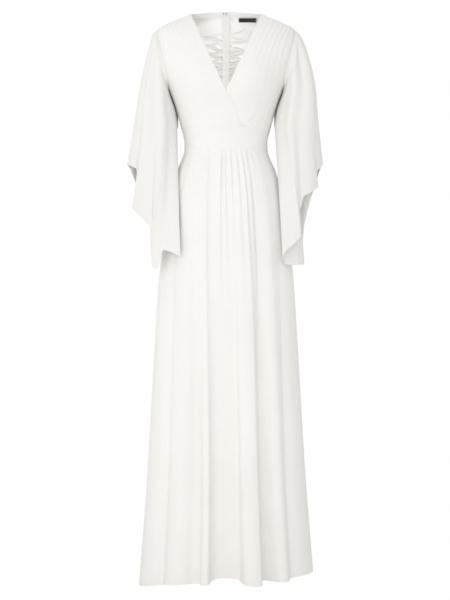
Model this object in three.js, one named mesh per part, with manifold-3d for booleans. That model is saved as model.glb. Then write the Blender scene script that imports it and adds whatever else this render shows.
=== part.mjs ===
// Long evening dress, size 36: a pleated wrap front with a V neck, a midriff band, a gathered skirt to the
// floor, open sleeves with a handkerchief hem, and a concealed zip down the back. It has its worn, round form.
// Millimetres, +Z up. The front faces -Y, and +X is the wearer's left. The origin lies midway between the two
// points where the shoulder seams meet the neck.
import * as THREE from "three";
import { mergeVertices } from "three/addons/utils/BufferGeometryUtils.js";
import Module from "manifold-3d";

const wasm = await Module();
wasm.setup();

// Cloth
const WALL = 1.4;
const LINING_WALL = 1.0;
const SEAM_GAP = 0.3;
const LAYER_GAP = 0.4;

// Heights of the seams
const ARMPIT_Z = -206;
const SHOULDER_POINT_Z = -42;
const MIDRIFF_TOP_Z = -304;
const MIDRIFF_BOTTOM_Z = -362;
const HEM_Z = -1520;

// Neck
const NECK_HALF_WIDTH = 95;
const NECK_BAND_WIDTH = 16.5;
const NECK_BAND_Z = -6.9;
const BACK_NECK_RISE = 8;

// Half-widths of the worn form, from its middle line to the side, the front and the back.
const FORM = [
  { z: 8, side: 83, front: 15, back: 55 },
  { z: 0, side: 95, front: 24, back: 60 },
  { z: -8.2, side: 111, front: 33, back: 65 },
  { z: -20, side: 141, front: 46, back: 72 },
  { z: -42, side: 182, front: 66, back: 82 },
  { z: -56, side: 189, front: 75, back: 87 },
  { z: -80, side: 192, front: 88, back: 93 },
  { z: -110, side: 190, front: 100, back: 98 },
  { z: -150, side: 178, front: 112, back: 101 },
  { z: -180, side: 165, front: 116, back: 100 },
  { z: -206, side: 153, front: 115, back: 97 },
  { z: -250, side: 136, front: 106, back: 91 },
  { z: -300, side: 122, front: 97, back: 85 },
  { z: -350, side: 111, front: 90, back: 82 },
  { z: -375, side: 113.5, front: 91, back: 85 },
  { z: -394, side: 120.5, front: 92, back: 90 },
  { z: -427, side: 134.5, front: 95, back: 99 },
  { z: -500, side: 153, front: 102, back: 117 },
  { z: -560, side: 161, front: 107, back: 126 },
  { z: -697, side: 179.5, front: 121, back: 139 },
  { z: -934, side: 194.5, front: 147, back: 160 },
  { z: -1258, side: 213.5, front: 174, back: 186 },
  { z: -1420, side: 226, front: 185, back: 197 },
  { z: -1560, side: 237, front: 194, back: 206 },
];
const SQUARENESS = 0.17;
const BUST = { z: -172, tall: 62, x: 74, wide: 50, full: 11 };

// Front edge of the wrap, x on the wearer's own side of the centre front.
const WRAP_EDGE = [
  { z: 0, x: NECK_HALF_WIDTH },
  { z: -211, x: 0 },
  { z: -254, x: -23 },
  { z: -304, x: -39 },
];
const WRAP_DIVE = { deep: 2.3, from: 24, to: 2 };

// Armholes, how far they cut into the front and the back, in degrees round the form.
const ARMHOLE = { front: 26, back: 23, frontSteps: 13, backSteps: 12 };
const SIDE_STEPS = 4;

// Pleats of the two fronts: where each lies between the neck band and the armhole, and how high it stands.
const PLEAT_HALF_WIDTH = 0.042;
const PLEAT_CROWDING = 1.2;
const PLEAT_SHARE = { overBust: 0.45, power: 1.4, atMidriff: 0.35, atShoulder: 0.5 };
const PLEATS = {
  right: [
    { at: 0.09, high: 1.3 },
    { at: 0.21, high: 1.7 },
    { at: 0.34, high: 2.1 },
    { at: 0.47, high: 1.6 },
    { at: 0.6, high: 2.3 },
    { at: 0.74, high: 2.0 },
    { at: 0.88, high: 1.6 },
  ],
  left: [
    { at: 0.08, high: 2.2 },
    { at: 0.2, high: 2.9 },
    { at: 0.32, high: 2.4 },
    { at: 0.45, high: 3.1 },
    { at: 0.58, high: 2.5 },
    { at: 0.72, high: 3.0 },
    { at: 0.87, high: 2.2 },
  ],
};

// Skirt: each row is one fold line. It leaves the midriff at x = waist and reaches the hem at x = hem. It
// stands out by `gather` just below the midriff and by `out` at the hem, and its hem hangs lower by `drop`.
const SKIRT_FRONT = [
  { waist: -112, hem: -234, gather: 0, out: 0, drop: 10 },
  { waist: -108, hem: -213, gather: 0, out: 7, drop: 9 },
  { waist: -101, hem: -193, gather: 0.5, out: 3, drop: 7 },
  { waist: -93, hem: -177, gather: -0.5, out: -11, drop: 4 },
  { waist: -85, hem: -158, gather: 0.8, out: 2, drop: 3 },
  { waist: -77, hem: -134, gather: 0, out: 9, drop: 2 },
  { waist: -69, hem: -110, gather: 1, out: 5, drop: 0 },
  { waist: -62, hem: -92, gather: -0.5, out: -4, drop: -2 },
  { waist: -56, hem: -73, gather: 2.4, out: -2, drop: -2 },
  { waist: -50, hem: -60, gather: -1, out: 12, drop: 2 },
  { waist: -44, hem: -47, gather: 2.6, out: 15, drop: 1 },
  { waist: -37, hem: -38, gather: -0.8, out: -6, drop: -10 },
  { waist: -26, hem: -28, gather: 0.6, out: -16, drop: -14 },
  { waist: -14, hem: -12, gather: 2.6, out: -19, drop: -16 },
  { waist: -9.5, hem: 0, gather: -0.8, out: -20, drop: -16 },
  { waist: -5, hem: 13, gather: 2.2, out: -20, drop: -16 },
  { waist: 2, hem: 28, gather: -0.8, out: -18, drop: -14 },
  { waist: 9, hem: 39, gather: 2.6, out: -12, drop: -10 },
  { waist: 16, hem: 46, gather: -0.8, out: 10, drop: 0 },
  { waist: 23, hem: 57, gather: 2.8, out: 20, drop: 3 },
  { waist: 30, hem: 71, gather: -0.8, out: 23, drop: 4 },
  { waist: 37, hem: 84, gather: 2.8, out: 21, drop: 3 },
  { waist: 43, hem: 93, gather: -0.8, out: 8, drop: 0 },
  { waist: 48, hem: 100, gather: 2.6, out: -16, drop: -8 },
  { waist: 54, hem: 114, gather: -0.8, out: -26, drop: -10 },
  { waist: 60, hem: 127, gather: 2.2, out: -14, drop: -8 },
  { waist: 69, hem: 138, gather: -0.4, out: 6, drop: -6 },
  { waist: 78, hem: 153, gather: 0.8, out: 13, drop: -6 },
  { waist: 88, hem: 169, gather: -0.3, out: 2, drop: -10 },
  { waist: 96, hem: 178, gather: 0.4, out: -9, drop: -14 },
  { waist: 104, hem: 199, gather: 0, out: 3, drop: -20 },
  { waist: 109, hem: 218, gather: 0, out: 7, drop: -25 },
  { waist: 112, hem: 234, gather: 0, out: 0, drop: -28 },
];
// Half of the back, from the side seam to the centre back, with one `out` for each half. Its hem follows the
// front's hem at the side seam, and evens out towards the centre back.
const BACK_HEM_DROP = { right: 10, left: -28 };
const SKIRT_BACK = [
  { waist: 112, hem: 234, gather: 0, right: 0, left: 0 },
  { waist: 107, hem: 213, gather: 0, right: -5, left: -7 },
  { waist: 99, hem: 190, gather: 0.8, right: 6, left: 9 },
  { waist: 90, hem: 168, gather: 0, right: 11, left: 7 },
  { waist: 80, hem: 147, gather: 1.4, right: -4, left: -9 },
  { waist: 70, hem: 125, gather: -0.4, right: -12, left: -4 },
  { waist: 61, hem: 105, gather: 1.6, right: 5, left: 10 },
  { waist: 52, hem: 86, gather: -0.4, right: 12, left: 9 },
  { waist: 43, hem: 68, gather: 1.6, right: 2, left: -8 },
  { waist: 34, hem: 51, gather: -0.4, right: -13, left: -10 },
  { waist: 24, hem: 35, gather: 1.2, right: -4, left: 6 },
  { waist: 13, hem: 18, gather: 0.4, right: 8, left: 9 },
  { waist: 0, hem: 0, gather: 0, right: 4, left: 4 },
];
// Shares of the way from the midriff to the hem between which the gathers come up and die away.
const GATHERS = { full: 0.03, from: 0.1, to: 0.42 };
const FOLD_GROWTH = 1.1;
const SKIRT_FALLS = [0, 0.012, 0.03, 0.06, 0.1, 0.15, 0.21, 0.28, 0.36, 0.45, 0.54, 0.63, 0.72, 0.81, 0.9, 1];

// Sleeve: rings round the arm, each by its outer and its inner [x, z], its middle's y and its half-depth. The
// inner point leans back, and behind it the cloth is tucked in towards the body. The left sleeve is fuller.
const SLEEVE_RINGS = [
  { outer: [197, -57], inner: [152, -214], middleY: -2, deep: 53, lean: 0, tuck: 0, fuller: 1 },
  { outer: [206, -88], inner: [148.5, -228], middleY: -5, deep: 56, lean: 4, tuck: 7, fuller: 7 },
  { outer: [228, -182], inner: [139.5, -255], middleY: -12, deep: 59, lean: 8, tuck: 18, fuller: 10 },
  { outer: [243.5, -280], inner: [131, -302], middleY: -20, deep: 62, lean: 6, tuck: 16, fuller: 3 },
];
const TUCK = { round: 228, from: 186, to: 292 };
// The inner back of each sleeve hangs clear of the hip, by this much halfway to the hem.
const HIP_ROOM = { wide: 14, from: 170, full: 200, fade: 250, to: 300 };
const SLEEVE_RING_STEPS = [1, 1, 2, 2];
const SLEEVE_HANG_STEPS = 6;
// Hem of each sleeve: each row is one fold line. It crosses the last ring at `round` degrees, counted from
// the outside through the front, and ends at x, y, z. x is counted towards the wearer's own side.
const SLEEVE_HEMS = {
  right: [
    { round: 0, x: 265, y: 0, z: -404 },
    { round: 12, x: 253, y: -20, z: -410 },
    { round: 24, x: 241, y: -30, z: -416 },
    { round: 37, x: 234, y: -24, z: -440 },
    { round: 49, x: 240, y: -22, z: -490 },
    { round: 61, x: 249, y: -30, z: -524 },
    { round: 78, x: 226, y: -54, z: -547 },
    { round: 94, x: 202, y: -72, z: -572 },
    { round: 106, x: 200, y: -72, z: -640 },
    { round: 118, x: 197, y: -78, z: -682 },
    { round: 130, x: 180, y: -86, z: -684 },
    { round: 146, x: 168, y: -92, z: -634 },
    { round: 162, x: 146, y: -106, z: -640 },
    { round: 176, x: 122, y: -111, z: -652 },
    { round: 185, x: 128, y: -102, z: -646 },
    { round: 196, x: 148, y: -85, z: -634 },
    { round: 208, x: 168, y: -73, z: -645 },
    { round: 222, x: 184, y: -64, z: -684 },
    { round: 237, x: 196, y: -54, z: -682 },
    { round: 252, x: 194, y: -36, z: -640 },
    { round: 268, x: 196, y: -20, z: -590 },
    { round: 286, x: 214, y: -6, z: -540 },
    { round: 305, x: 229, y: 8, z: -500 },
    { round: 324, x: 244, y: 16, z: -450 },
    { round: 342, x: 257, y: 12, z: -418 },
  ],
  left: [
    { round: 0, x: 260, y: 0, z: -402 },
    { round: 12, x: 255, y: -16, z: -412 },
    { round: 24, x: 247, y: -28, z: -418 },
    { round: 37, x: 240, y: -24, z: -432 },
    { round: 49, x: 243, y: -28, z: -452 },
    { round: 61, x: 247, y: -36, z: -467 },
    { round: 78, x: 229, y: -54, z: -479 },
    { round: 94, x: 210, y: -64, z: -491 },
    { round: 106, x: 202, y: -66, z: -522 },
    { round: 118, x: 194, y: -68, z: -526 },
    { round: 130, x: 198, y: -78, z: -600 },
    { round: 146, x: 180, y: -88, z: -620 },
    { round: 162, x: 163, y: -90, z: -634 },
    { round: 176, x: 151, y: -86, z: -654 },
    { round: 185, x: 156, y: -76, z: -672 },
    { round: 196, x: 173, y: -68, z: -675 },
    { round: 208, x: 189, y: -58, z: -675 },
    { round: 222, x: 203, y: -47, z: -674 },
    { round: 237, x: 212, y: -36, z: -672 },
    { round: 252, x: 203, y: -24, z: -628 },
    { round: 268, x: 206, y: -12, z: -580 },
    { round: 286, x: 218, y: 0, z: -530 },
    { round: 305, x: 230, y: 10, z: -490 },
    { round: 324, x: 243, y: 16, z: -448 },
    { round: 342, x: 254, y: 12, z: -415 },
  ],
};

// Zip guard and label inside the back, and the zip's slider and pull tab outside.
const GUARD = { half: 9.5, top: 0, bottom: -352, steps: 16, extra: 0.5 };
const LABEL = { fromX: 35, toX: 82, top: -6.5, bottom: -17, steps: 6, extra: 1.3 };
const SLIDER = { z: -19, wide: 5, long: 9.5, thick: 2, clear: 0.5 };
const BRIDGE = { wide: 1.4, legFrom: 1.7, legTo: 2.5, hole: 2.0, top: 0.8 };
const PULL = { wide: 4.6, arm: 1, eye: 4.2, bar: 0.5, long: 24, thick: 1, tip: 3.4 };

const IVORY_CHIFFON = { color: 0xf1ede6, roughness: 0.85, metalness: 0 };
const IVORY_SATIN = { color: 0xe9e2d8, roughness: 0.4, metalness: 0 };
const BLACK_RIBBON = { color: 0x17161a, roughness: 0.7, metalness: 0 };
const WHITE_LACQUER = { color: 0xe8e4dc, roughness: 0.35, metalness: 0.3 };

const degrees = THREE.MathUtils.degToRad;
const lerp = THREE.MathUtils.lerp;
const clamp = THREE.MathUtils.clamp;
const smoothstep = THREE.MathUtils.smoothstep;

/** A smooth curve through one column of a table whose rows are keyed by z, highest first. */
function column(table, name) {
  const slope = (i) => (table[i + 1][name] - table[i][name]) / (table[i + 1].z - table[i].z);
  const tangent = (i) => {
    if (i === 0) return slope(0);
    if (i === table.length - 1) return slope(i - 1);
    const [above, below] = [slope(i - 1), slope(i)];
    return above * below <= 0 ? 0 : (2 * above * below) / (above + below);
  };
  return (z) => {
    let i = 0;
    while (i < table.length - 2 && z < table[i + 1].z) i++;
    const span = table[i + 1].z - table[i].z;
    const t = (z - table[i].z) / span;
    const t2 = t * t;
    const t3 = t2 * t;
    return (
      (2 * t3 - 3 * t2 + 1) * table[i][name] +
      (t3 - 2 * t2 + t) * span * tangent(i) +
      (3 * t2 - 2 * t3) * table[i + 1][name] +
      (t3 - t2) * span * tangent(i + 1)
    );
  };
}

const formSide = column(FORM, "side");
const formFront = column(FORM, "front");
const formBack = column(FORM, "back");
const wrapEdge = column(WRAP_EDGE, "x");

/** Point of the worn form. turn is 0 at the centre front, +-90 at the sides and 180 at the centre back. */
function formPoint(turn, z) {
  const sine = Math.sin(degrees(turn));
  const cosine = Math.cos(degrees(turn));
  const x = formSide(z) * sine;
  const depth = cosine > 0 ? formFront(z) : formBack(z);
  const across = (Math.abs(x) - BUST.x) / BUST.wide;
  const up = (z - BUST.z) / BUST.tall;
  const bust = cosine > 0 ? BUST.full * Math.exp(-across * across - up * up) : 0;
  return new THREE.Vector3(x, -(depth + bust) * cosine * (1 + SQUARENESS * sine * sine), z);
}

/** Outward normal of the worn form. */
function formNormal(turn, z) {
  const round = formPoint(turn + 0.5, z).sub(formPoint(turn - 0.5, z));
  const up = formPoint(turn, z + 0.5).sub(formPoint(turn, z - 0.5));
  return round.cross(up).normalize();
}

/** Turn of the point of the form's front at this x and z. */
function turnAt(x, z) {
  return THREE.MathUtils.radToDeg(Math.asin(clamp(x / formSide(z), -1, 1)));
}

/** Grid of rows from the bottom up, made by a function of the row and the column. */
function grid(rows, columns, make) {
  return Array.from({ length: rows }, (_, i) => Array.from({ length: columns }, (_, j) => make(i, j)));
}

/** Moves the edges of a grid in by the given distances, to leave the gap of a seam. */
function trim(points, { left = 0, right = 0, bottom = 0, top = 0 }) {
  const rows = points.length;
  const columns = points[0].length;
  const moved = points.map((row) => row.map((p) => p.clone()));
  const pull = (i, j, towardsI, towardsJ, distance) => {
    const step = points[towardsI][towardsJ].clone().sub(points[i][j]);
    moved[i][j].addScaledVector(step.normalize(), distance);
  };
  for (let i = 0; i < rows; i++) {
    if (left) pull(i, 0, i, 1, left);
    if (right) pull(i, columns - 1, i, columns - 2, right);
  }
  for (let j = 0; j < columns; j++) {
    if (bottom) pull(0, j, 1, j, bottom);
    if (top) pull(rows - 1, j, rows - 2, j, top);
  }
  return moved;
}

/** Normals of a grid of points from their neighbours. Rows of a round grid close on themselves. */
function gridNormals(points, round = false) {
  const rows = points.length;
  const columns = points[0].length;
  return grid(rows, columns, (i, j) => {
    const before = round ? (j + columns - 1) % columns : Math.max(j - 1, 0);
    const after = round ? (j + 1) % columns : Math.min(j + 1, columns - 1);
    const across = points[i][after].clone().sub(points[i][before]);
    const up = points[Math.min(i + 1, rows - 1)][j].clone().sub(points[Math.max(i - 1, 0)][j]);
    return across.cross(up).normalize();
  });
}

/** Copy of a grid moved along its normals. */
function offset(points, normals, distance) {
  return points.map((row, i) => row.map((p, j) => p.clone().addScaledVector(normals[i][j], distance)));
}

/** Signed volume inside a closed triangle mesh. */
function volume(points, index) {
  let sum = 0;
  for (let k = 0; k < index.length; k += 3) {
    const [a, b, c] = [points[index[k]], points[index[k + 1]], points[index[k + 2]]];
    sum += a.dot(b.clone().cross(c)) / 6;
  }
  return sum;
}

/** Closed wall between two grids of points. Rows of a round grid close on themselves. */
function wall(outer, inner, round = false) {
  const rows = outer.length;
  const columns = outer[0].length;
  const points = [...outer.flat(), ...inner.flat()];
  const at = (layer, i, j) => layer * rows * columns + i * columns + (j % columns);
  const index = [];
  const quad = (a, b, c, d) => {
    if (points[a].distanceTo(points[c]) < points[b].distanceTo(points[d])) index.push(a, b, c, a, c, d);
    else index.push(a, b, d, b, c, d);
  };
  const spans = round ? columns : columns - 1;
  for (let j = 0; j < spans; j++) {
    for (let i = 0; i < rows - 1; i++) {
      quad(at(0, i, j), at(0, i, j + 1), at(0, i + 1, j + 1), at(0, i + 1, j));
      quad(at(1, i, j), at(1, i + 1, j), at(1, i + 1, j + 1), at(1, i, j + 1));
    }
    const top = rows - 1;
    quad(at(0, 0, j + 1), at(0, 0, j), at(1, 0, j), at(1, 0, j + 1));
    quad(at(0, top, j), at(0, top, j + 1), at(1, top, j + 1), at(1, top, j));
  }
  for (let i = 0; i < rows - 1 && !round; i++) {
    const last = columns - 1;
    quad(at(0, i, 0), at(0, i + 1, 0), at(1, i + 1, 0), at(1, i, 0));
    quad(at(0, i + 1, last), at(0, i, last), at(1, i, last), at(1, i + 1, last));
  }
  if (volume(points, index) < 0) index.reverse();
  const geometry = new THREE.BufferGeometry();
  geometry.setAttribute("position", new THREE.Float32BufferAttribute(points.flatMap((p) => p.toArray()), 3));
  geometry.setIndex(index);
  return geometry;
}

const dress = new THREE.Group();

function addPiece(name, geometry, finish) {
  const mesh = new THREE.Mesh(geometry, new THREE.MeshStandardMaterial(finish));
  mesh.name = name;
  dress.add(mesh);
  return mesh;
}

/** Patch of {turn, z} pairs between four edges that meet at their corners. */
function patch(edges, s, t) {
  const [a, b, c, d] = [edges.bottom(0), edges.bottom(1), edges.top(0), edges.top(1)];
  const [low, high, near, far] = [edges.bottom(s), edges.top(s), edges.left(t), edges.right(t)];
  const blend = (key) =>
    lerp(near[key], far[key], s) +
    lerp(low[key], high[key], t) -
    lerp(lerp(a[key], b[key], s), lerp(c[key], d[key], s), t);
  return { turn: blend("turn"), z: blend("z") };
}

/** Point of an armhole edge, from the shoulder point at 0 to the armpit at 1. */
function armholeEdge(part, cut) {
  const middle = (SHOULDER_POINT_Z + ARMPIT_Z) / 2;
  const half = (SHOULDER_POINT_Z - ARMPIT_Z) / 2;
  return { turn: 90 - cut * Math.sin(Math.PI * part), z: middle + half * Math.cos(Math.PI * part) };
}

/** Side seam and armhole edge, upwards, with t from 0 to 1 over both. */
function sideEdge(t, steps, cut) {
  const step = t * (SIDE_STEPS + steps);
  if (step <= SIDE_STEPS) return { turn: 90, z: lerp(MIDRIFF_TOP_Z, ARMPIT_Z, step / SIDE_STEPS) };
  return armholeEdge(1 - (step - SIDE_STEPS) / steps, cut);
}

const FRONT_STEPS = SIDE_STEPS + ARMHOLE.frontSteps;
const BACK_STEPS = SIDE_STEPS + ARMHOLE.backSteps;
const NECK_CROWDING = 1.35;

/** Height of the neck edge or of the seam beside it. The steps crowd towards the shoulder, at top. */
function neckZ(t, top) {
  const step = t * FRONT_STEPS;
  if (step <= SIDE_STEPS) return lerp(MIDRIFF_TOP_Z, ARMPIT_Z, step / SIDE_STEPS);
  return top + (ARMPIT_Z - top) * Math.pow(1 - (step - SIDE_STEPS) / ARMHOLE.frontSteps, NECK_CROWDING);
}

const frontEdges = {
  left: (t) => {
    const z = neckZ(t, NECK_BAND_Z);
    return { turn: turnAt(wrapEdge(z) + NECK_BAND_WIDTH, z), z };
  },
  right: (t) => sideEdge(t, ARMHOLE.frontSteps, ARMHOLE.front),
  bottom: (s) => {
    const start = turnAt(wrapEdge(MIDRIFF_TOP_Z) + NECK_BAND_WIDTH, MIDRIFF_TOP_Z);
    return { turn: lerp(start, 90, Math.pow(s, PLEAT_CROWDING)), z: MIDRIFF_TOP_Z };
  },
  top: (s) => ({ turn: 90, z: lerp(NECK_BAND_Z, SHOULDER_POINT_Z, s) }),
};

/** How far a point of the left front lies inside the form, where the right front wraps over it. */
function dive(side, ownX, z) {
  if (side > 0) return WRAP_DIVE.deep * (1 - smoothstep(ownX + wrapEdge(z), WRAP_DIVE.to, WRAP_DIVE.from));
  return 0;
}

/** Pleats are high at the shoulder and below the bust, and almost smooth over it. */
function pleatRise(t) {
  const overBust = lerp(PLEAT_SHARE.overBust, 1, Math.pow(Math.abs(2 * t - 1), PLEAT_SHARE.power));
  const low = lerp(PLEAT_SHARE.atMidriff, 1, smoothstep(t, 0, 0.1));
  return overBust * low * lerp(PLEAT_SHARE.atShoulder, 1, smoothstep(1 - t, 0, 0.08));
}

/** Grids of a panel on the form, mirrored to the wearer's own side. place gives turn, z, sink and rise. */
function panelGrids(side, rows, columns, thickness, place) {
  const spots = grid(rows, columns, place);
  const make = (depth) =>
    spots.map((row) =>
      row.map((spot) => {
        const point = formPoint(spot.turn, spot.z);
        point.addScaledVector(formNormal(spot.turn, spot.z), depth(spot));
        point.x *= side;
        return point;
      }),
    );
  const outer = make((spot) => (spot.rise ?? 0) - (spot.sink ?? 0));
  const inner = make((spot) => -thickness - (spot.sink ?? 0));
  return { outer, inner };
}

function addPanel(name, grids, edges, finish) {
  addPiece(name, wall(trim(grids.outer, edges), trim(grids.inner, edges)), finish);
}

const SEAM = SEAM_GAP / 2;
const ALL_SEAMS = { left: SEAM, right: SEAM, bottom: SEAM, top: SEAM };

function addFront(name, side, pleats) {
  const stations = [{ s: 0, rise: 0 }];
  for (const { at, high } of pleats) {
    stations.push({ s: at - PLEAT_HALF_WIDTH, rise: 0 });
    stations.push({ s: at, rise: high });
    stations.push({ s: at + PLEAT_HALF_WIDTH, rise: 0 });
  }
  stations.push({ s: 1, rise: 0 });
  const grids = panelGrids(side, FRONT_STEPS + 1, stations.length, WALL, (i, j) => {
    const t = i / FRONT_STEPS;
    const { turn, z } = patch(frontEdges, stations[j].s, t);
    const sink = dive(side, formSide(z) * Math.sin(degrees(turn)), z);
    return { turn, z, sink, rise: stations[j].rise * pleatRise(t) * (1 - sink / WRAP_DIVE.deep) };
  });
  addPanel(name, grids, ALL_SEAMS, IVORY_CHIFFON);
}

function addNeckBand(name, side) {
  const grids = panelGrids(side, FRONT_STEPS + 1, 2, WALL, (i, j) => {
    const z = neckZ(i / FRONT_STEPS, j ? NECK_BAND_Z : 0);
    const x = wrapEdge(z) + (j ? NECK_BAND_WIDTH : 0);
    return { turn: turnAt(x, z), z, sink: dive(side, x, z) };
  });
  addPanel(name, grids, { right: SEAM, bottom: SEAM, top: SEAM }, IVORY_CHIFFON);
}

const BACK_NECK_STEPS = 6;
const BACK_COLUMNS = 11;

const backEdges = {
  left: (t) => ({ turn: 180, z: lerp(MIDRIFF_TOP_Z, NECK_BAND_Z, t) }),
  right: (t) => {
    const { turn, z } = sideEdge(t, ARMHOLE.backSteps, ARMHOLE.back);
    return { turn: 180 - turn, z };
  },
  bottom: (s) => ({ turn: lerp(180, 90, s), z: MIDRIFF_TOP_Z }),
  top: (s) => {
    const step = s * (BACK_COLUMNS - 1);
    if (step <= BACK_NECK_STEPS) return { turn: lerp(180, 90, step / BACK_NECK_STEPS), z: NECK_BAND_Z };
    const along = (step - BACK_NECK_STEPS) / (BACK_COLUMNS - 1 - BACK_NECK_STEPS);
    return { turn: 90, z: lerp(NECK_BAND_Z, SHOULDER_POINT_Z, along) };
  },
};

function backSpot(i, j) {
  return patch(backEdges, j / (BACK_COLUMNS - 1), i / BACK_STEPS);
}

function addBack(name, side) {
  addPanel(name, panelGrids(side, BACK_STEPS + 1, BACK_COLUMNS, WALL, backSpot), ALL_SEAMS, IVORY_CHIFFON);
}

const LINING_EDGES = { left: SEAM, right: 4, bottom: 1, top: 1 };

function addBackLining(name, side) {
  const sink = WALL + LAYER_GAP;
  const place = (i, j) => ({ ...backSpot(i, j), sink });
  const grids = panelGrids(side, BACK_STEPS + 1, BACK_COLUMNS, LINING_WALL, place);
  addPanel(name, grids, LINING_EDGES, IVORY_SATIN);
}

function addBackNeckBand(name, side) {
  const grids = panelGrids(side, 2, BACK_NECK_STEPS + 1, WALL, (i, j) => {
    const back = 1 - j / BACK_NECK_STEPS;
    return { turn: lerp(90, 180, back), z: i ? BACK_NECK_RISE * smoothstep(back, 0, 1) : NECK_BAND_Z };
  });
  addPanel(name, grids, { left: SEAM, right: SEAM, bottom: SEAM }, IVORY_CHIFFON);
}

const MIDRIFF_ROWS = 4;

function addMidriff(name, from, to, columns) {
  const grids = panelGrids(1, MIDRIFF_ROWS, columns, WALL, (i, j) => ({
    turn: lerp(from, to, j / (columns - 1)),
    z: lerp(MIDRIFF_BOTTOM_Z, MIDRIFF_TOP_Z, i / (MIDRIFF_ROWS - 1)),
  }));
  addPanel(name, grids, ALL_SEAMS, IVORY_CHIFFON);
}

/** Point of a skirt fold line at a share of the way from the midriff to the hem. half is +1 in front. */
function skirtPoint(line, out, drop, fall, half) {
  const z = lerp(MIDRIFF_BOTTOM_Z, HEM_Z, fall);
  const atHem = line.hem / formSide(HEM_Z);
  const atWaist = line.waist / formSide(MIDRIFF_BOTTOM_Z);
  const share = clamp(lerp(atHem, atWaist, (1 - fall) * (1 - fall)), -1, 1);
  const turn = half > 0 ? turnAt(share * formSide(z), z) : 180 - turnAt(share * formSide(z), z);
  const gathered = smoothstep(fall, 0, GATHERS.full) * (1 - smoothstep(fall, GATHERS.from, GATHERS.to));
  const stands = line.gather * gathered + out * Math.pow(fall, FOLD_GROWTH);
  const away = new THREE.Vector3(Math.sin(degrees(turn)), -Math.cos(degrees(turn)), 0);
  const point = formPoint(turn, z).addScaledVector(away, stands);
  point.z -= drop * fall;
  return point;
}

function addSkirtPanel(name, lines, side, half, outName) {
  const rows = [...SKIRT_FALLS].reverse();
  const points = grid(rows.length, lines.length, (i, j) => {
    const line = lines[j];
    const drop = line.drop ?? BACK_HEM_DROP[outName] * Math.pow(line.waist / lines[0].waist, 2);
    const point = skirtPoint(line, line[outName], drop, rows[i], half);
    point.x *= side;
    return point;
  });
  const normals = gridNormals(points);
  const out = (p, flat) => new THREE.Vector3(p.x / formSide(flat), p.y / formFront(flat), 0).normalize();
  normals.forEach((row, i) => {
    const level = lerp(MIDRIFF_BOTTOM_Z, HEM_Z, rows[i]);
    row.forEach((normal, j) => {
      const sideways = out(points[i][j], level);
      if (normal.dot(sideways) < 0) normal.negate();
      if (j === 0 || j === row.length - 1 || i === rows.length - 1) {
        const seamX = Math.abs(points[i][j].x) < 1 ? 0 : Math.sign(points[i][j].x);
        const seam = new THREE.Vector3(seamX, seamX ? 0 : -half, 0);
        normal.copy(i === rows.length - 1 && j > 0 && j < row.length - 1 ? sideways : seam);
      }
    });
  });
  const inner = offset(points, normals, -WALL);
  const edges = { left: SEAM, right: SEAM, top: SEAM };
  addPiece(name, wall(trim(points, edges), trim(inner, edges)), IVORY_CHIFFON);
}

/** Point of a sleeve ring, on the wearer's own side. */
function ringPoint(ring, round, side) {
  const part = (1 + Math.cos(degrees(round))) / 2;
  const outerX = ring.outer[0] + (side > 0 ? ring.fuller : 0);
  const tucked = smoothstep(round, TUCK.from, TUCK.round) * (1 - smoothstep(round, TUCK.round, TUCK.to));
  return new THREE.Vector3(
    lerp(ring.inner[0], outerX, part) - ring.tuck * tucked,
    ring.middleY + ring.lean * (1 - part) - ring.deep * Math.sin(degrees(round)),
    lerp(ring.inner[1], ring.outer[1], part),
  );
}

/** Points of an armhole, one for each fold line of the sleeve, from the shoulder through the front. */
function armholePoint(j) {
  const front = j <= ARMHOLE.frontSteps;
  const part = front ? j / ARMHOLE.frontSteps : 1 - (j - ARMHOLE.frontSteps) / ARMHOLE.backSteps;
  const { turn, z } = armholeEdge(part, front ? ARMHOLE.front : ARMHOLE.back);
  return formPoint(front ? turn : 180 - turn, z);
}

/** Point of a sleeve's fold line at a share of the way from the last ring to the hem. */
function hangingPoint(start, { round, x, y, z }, part) {
  const beginning = smoothstep(round, HIP_ROOM.from, HIP_ROOM.full);
  const beside = beginning * (1 - smoothstep(round, HIP_ROOM.fade, HIP_ROOM.to));
  const point = start.clone().lerp(new THREE.Vector3(x, y, z), part);
  point.x += HIP_ROOM.wide * Math.sin(Math.PI * part) * beside;
  return point;
}

const SLEEVE_ROOT_GAP = 0.55;

function addSleeve(name, side, hem) {
  const lines = hem.map((fold, j) => {
    const root = armholePoint(j);
    root.x += SLEEVE_ROOT_GAP;
    return [root, ...SLEEVE_RINGS.map((ring) => ringPoint(ring, fold.round, side))];
  });
  const curves = lines.map((line) => new THREE.CatmullRomCurve3(line));
  const rows = [];
  SLEEVE_RING_STEPS.forEach((steps, k) => {
    for (let step = 0; step < steps; step++) {
      const along = (k + step / steps) / SLEEVE_RINGS.length;
      rows.push(curves.map((line) => line.getPoint(along)));
    }
  });
  for (let step = 0; step <= SLEEVE_HANG_STEPS; step++) {
    const part = step / SLEEVE_HANG_STEPS;
    rows.push(hem.map((fold, j) => hangingPoint(lines[j].at(-1), fold, part)));
  }
  const outer = rows.map((row) => row.map((p) => new THREE.Vector3(p.x * side, p.y, p.z)));
  const normals = gridNormals(outer, true);
  const inner = offset(outer, normals, side > 0 ? -WALL : WALL);
  addPiece(name, wall(outer, inner, true), IVORY_CHIFFON);
}

/** Strip inside the back between two x, lying on the lining. */
function addInsideStrip(name, { fromX, toX, top, bottom, columns, rows, thickness, extra }, finish) {
  const sink = WALL + LAYER_GAP + LINING_WALL + SEAM_GAP + extra;
  const grids = panelGrids(1, rows, columns, thickness, (i, j) => {
    const z = lerp(bottom, top, i / (rows - 1));
    return { turn: 180 - turnAt(lerp(fromX, toX, j / (columns - 1)), z), z, sink };
  });
  addPiece(name, wall(grids.outer, grids.inner), finish);
}

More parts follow.
